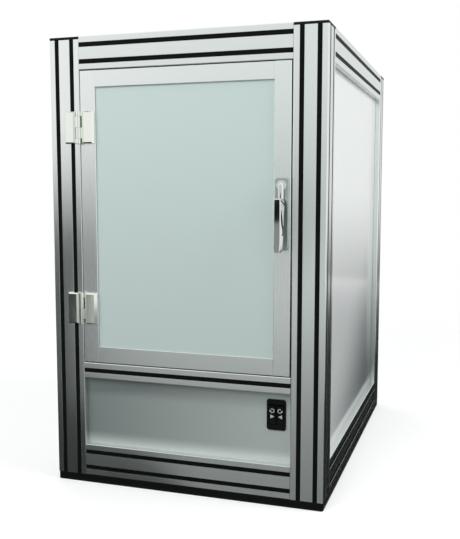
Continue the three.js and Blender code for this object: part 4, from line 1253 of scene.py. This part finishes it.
# The scan head: a black moulded case on a steel yoke and a slotted mast, with a projector lens between
# two camera lenses.
shell = moulded(
    "head_shell", tone=(0.030, 0.031, 0.033), roughness=0.42, grain_turns=420.0, grain_depth=0.06 * mm
)
barrel_black = moulded(
    "lens_barrel", tone=(0.012, 0.012, 0.013), roughness=0.3, grain_turns=800.0, grain_depth=0.01 * mm
)
eased("scan_mast", "profile_mast", upright, frame_edge)
eased("scan_yoke", "yoke_bracket", deck_paint, edge=0.5 * mm)
eased("scan_head_housing", "head_case", shell, edge=0.6 * mm, segments=3, smooth=40.0)
lenses = {"camera_lens_left": (-66, 16), "projector_lens": (0, 21), "camera_lens_right": (66, 16)}
for lens in lenses:
    eased(lens, f"{lens}_barrel", barrel_black, edge=0.3 * mm)

lens_seat = Vector((0.0, 186.8, 504.94)) * mm
lens_turn = Matrix.Rotation(math.radians(130), 4, "X")
lens_front = 13 * mm
glass_share = 0.55
glass_sides = 40
glass_smooth = 60.0
glass_rim = [(0.98, -5.6), (0.98, -4.85)]
glass_dome = [(0.86, -4.2), (0.7, -3.78), (0.5, -3.5), (0.28, -3.32), (0.04, -3.26)]
coating_turns = 45.0
coating_detail = 1.0
coating_shift = (0.35, 0.65)
coating_violet = (0.012, 0.006, 0.045)
coating_green = (0.004, 0.022, 0.026)
glass_roughness = 0.04
coating_roughness = 0.02


def coated_glass():
    """Dark lens glass with a violet bloom that shifts to green over its width."""
    finish = Finish("coated_glass")
    patch = finish.noise((coating_turns,) * 3, coating_detail)
    colour = finish.blend(finish.step(patch, *coating_shift), coating_violet, coating_green)
    coat = {"Coat Weight": 1.0, "Coat Roughness": coating_roughness}
    return finish.close({"Base Color": colour, "Roughness": glass_roughness} | coat)


glass = coated_glass()
for lens, (across, radius) in lenses.items():
    place = Matrix.Translation(lens_seat + Vector((across * mm, 0, 0))) @ lens_turn
    reach = glass_share * radius * mm
    profile = [(share * reach, lens_front + out * mm) for share, out in glass_rim + glass_dome]
    front_glass = shown(f"{lens}_front_glass", turned(profile, place, glass_sides), glass, glass_smooth)
    riding(front_glass, "scan_head")

# Inside the cabinet: the light bar over the door, an aluminium channel with a slanted white diffuser, the
# folded case of the power supply on the base, and the moulded inlet, which two screws hold at the back.
bar_white = (0.86, 0.87, 0.84)
bar_fall = (0.0, 1.0)
slant_least = 0.2
diffuser = faced("bar_diffuser", bar_white, bar_white, shade_slope(*bar_fall), coat=0.1)
bar = eased("light_bar", "light_bar_channel", diffuser, edge=0.4 * mm)
bar.data.materials.append(crosswise)
for face in bar.data.polygons:
    slanted = face.normal.y > slant_least and face.normal.z < -slant_least
    face.material_index = 0 if slanted else 1
eased("power_supply", "power_supply_case", zinc, edge=0.3 * mm)
eased("mains_inlet", "mains_inlet_body", switch_black, edge=0.3 * mm)
inlet_middle = Vector((130.0, 351.8, 125.0)) * mm
inlet_screw_across = 19.5 * mm
inlet_screw_radius = 2.6 * mm
inlet_screws = []
for side in (-1, 1):
    place = inlet_middle + Vector((side * inlet_screw_across, 0, 0))
    inlet_screws.append((place, (0, 0, 1), (0, 1, 0), 1.0))
fitted("inlet_screws", screw_head(inlet_screw_radius), inlet_screws, zinc, "cabinet")
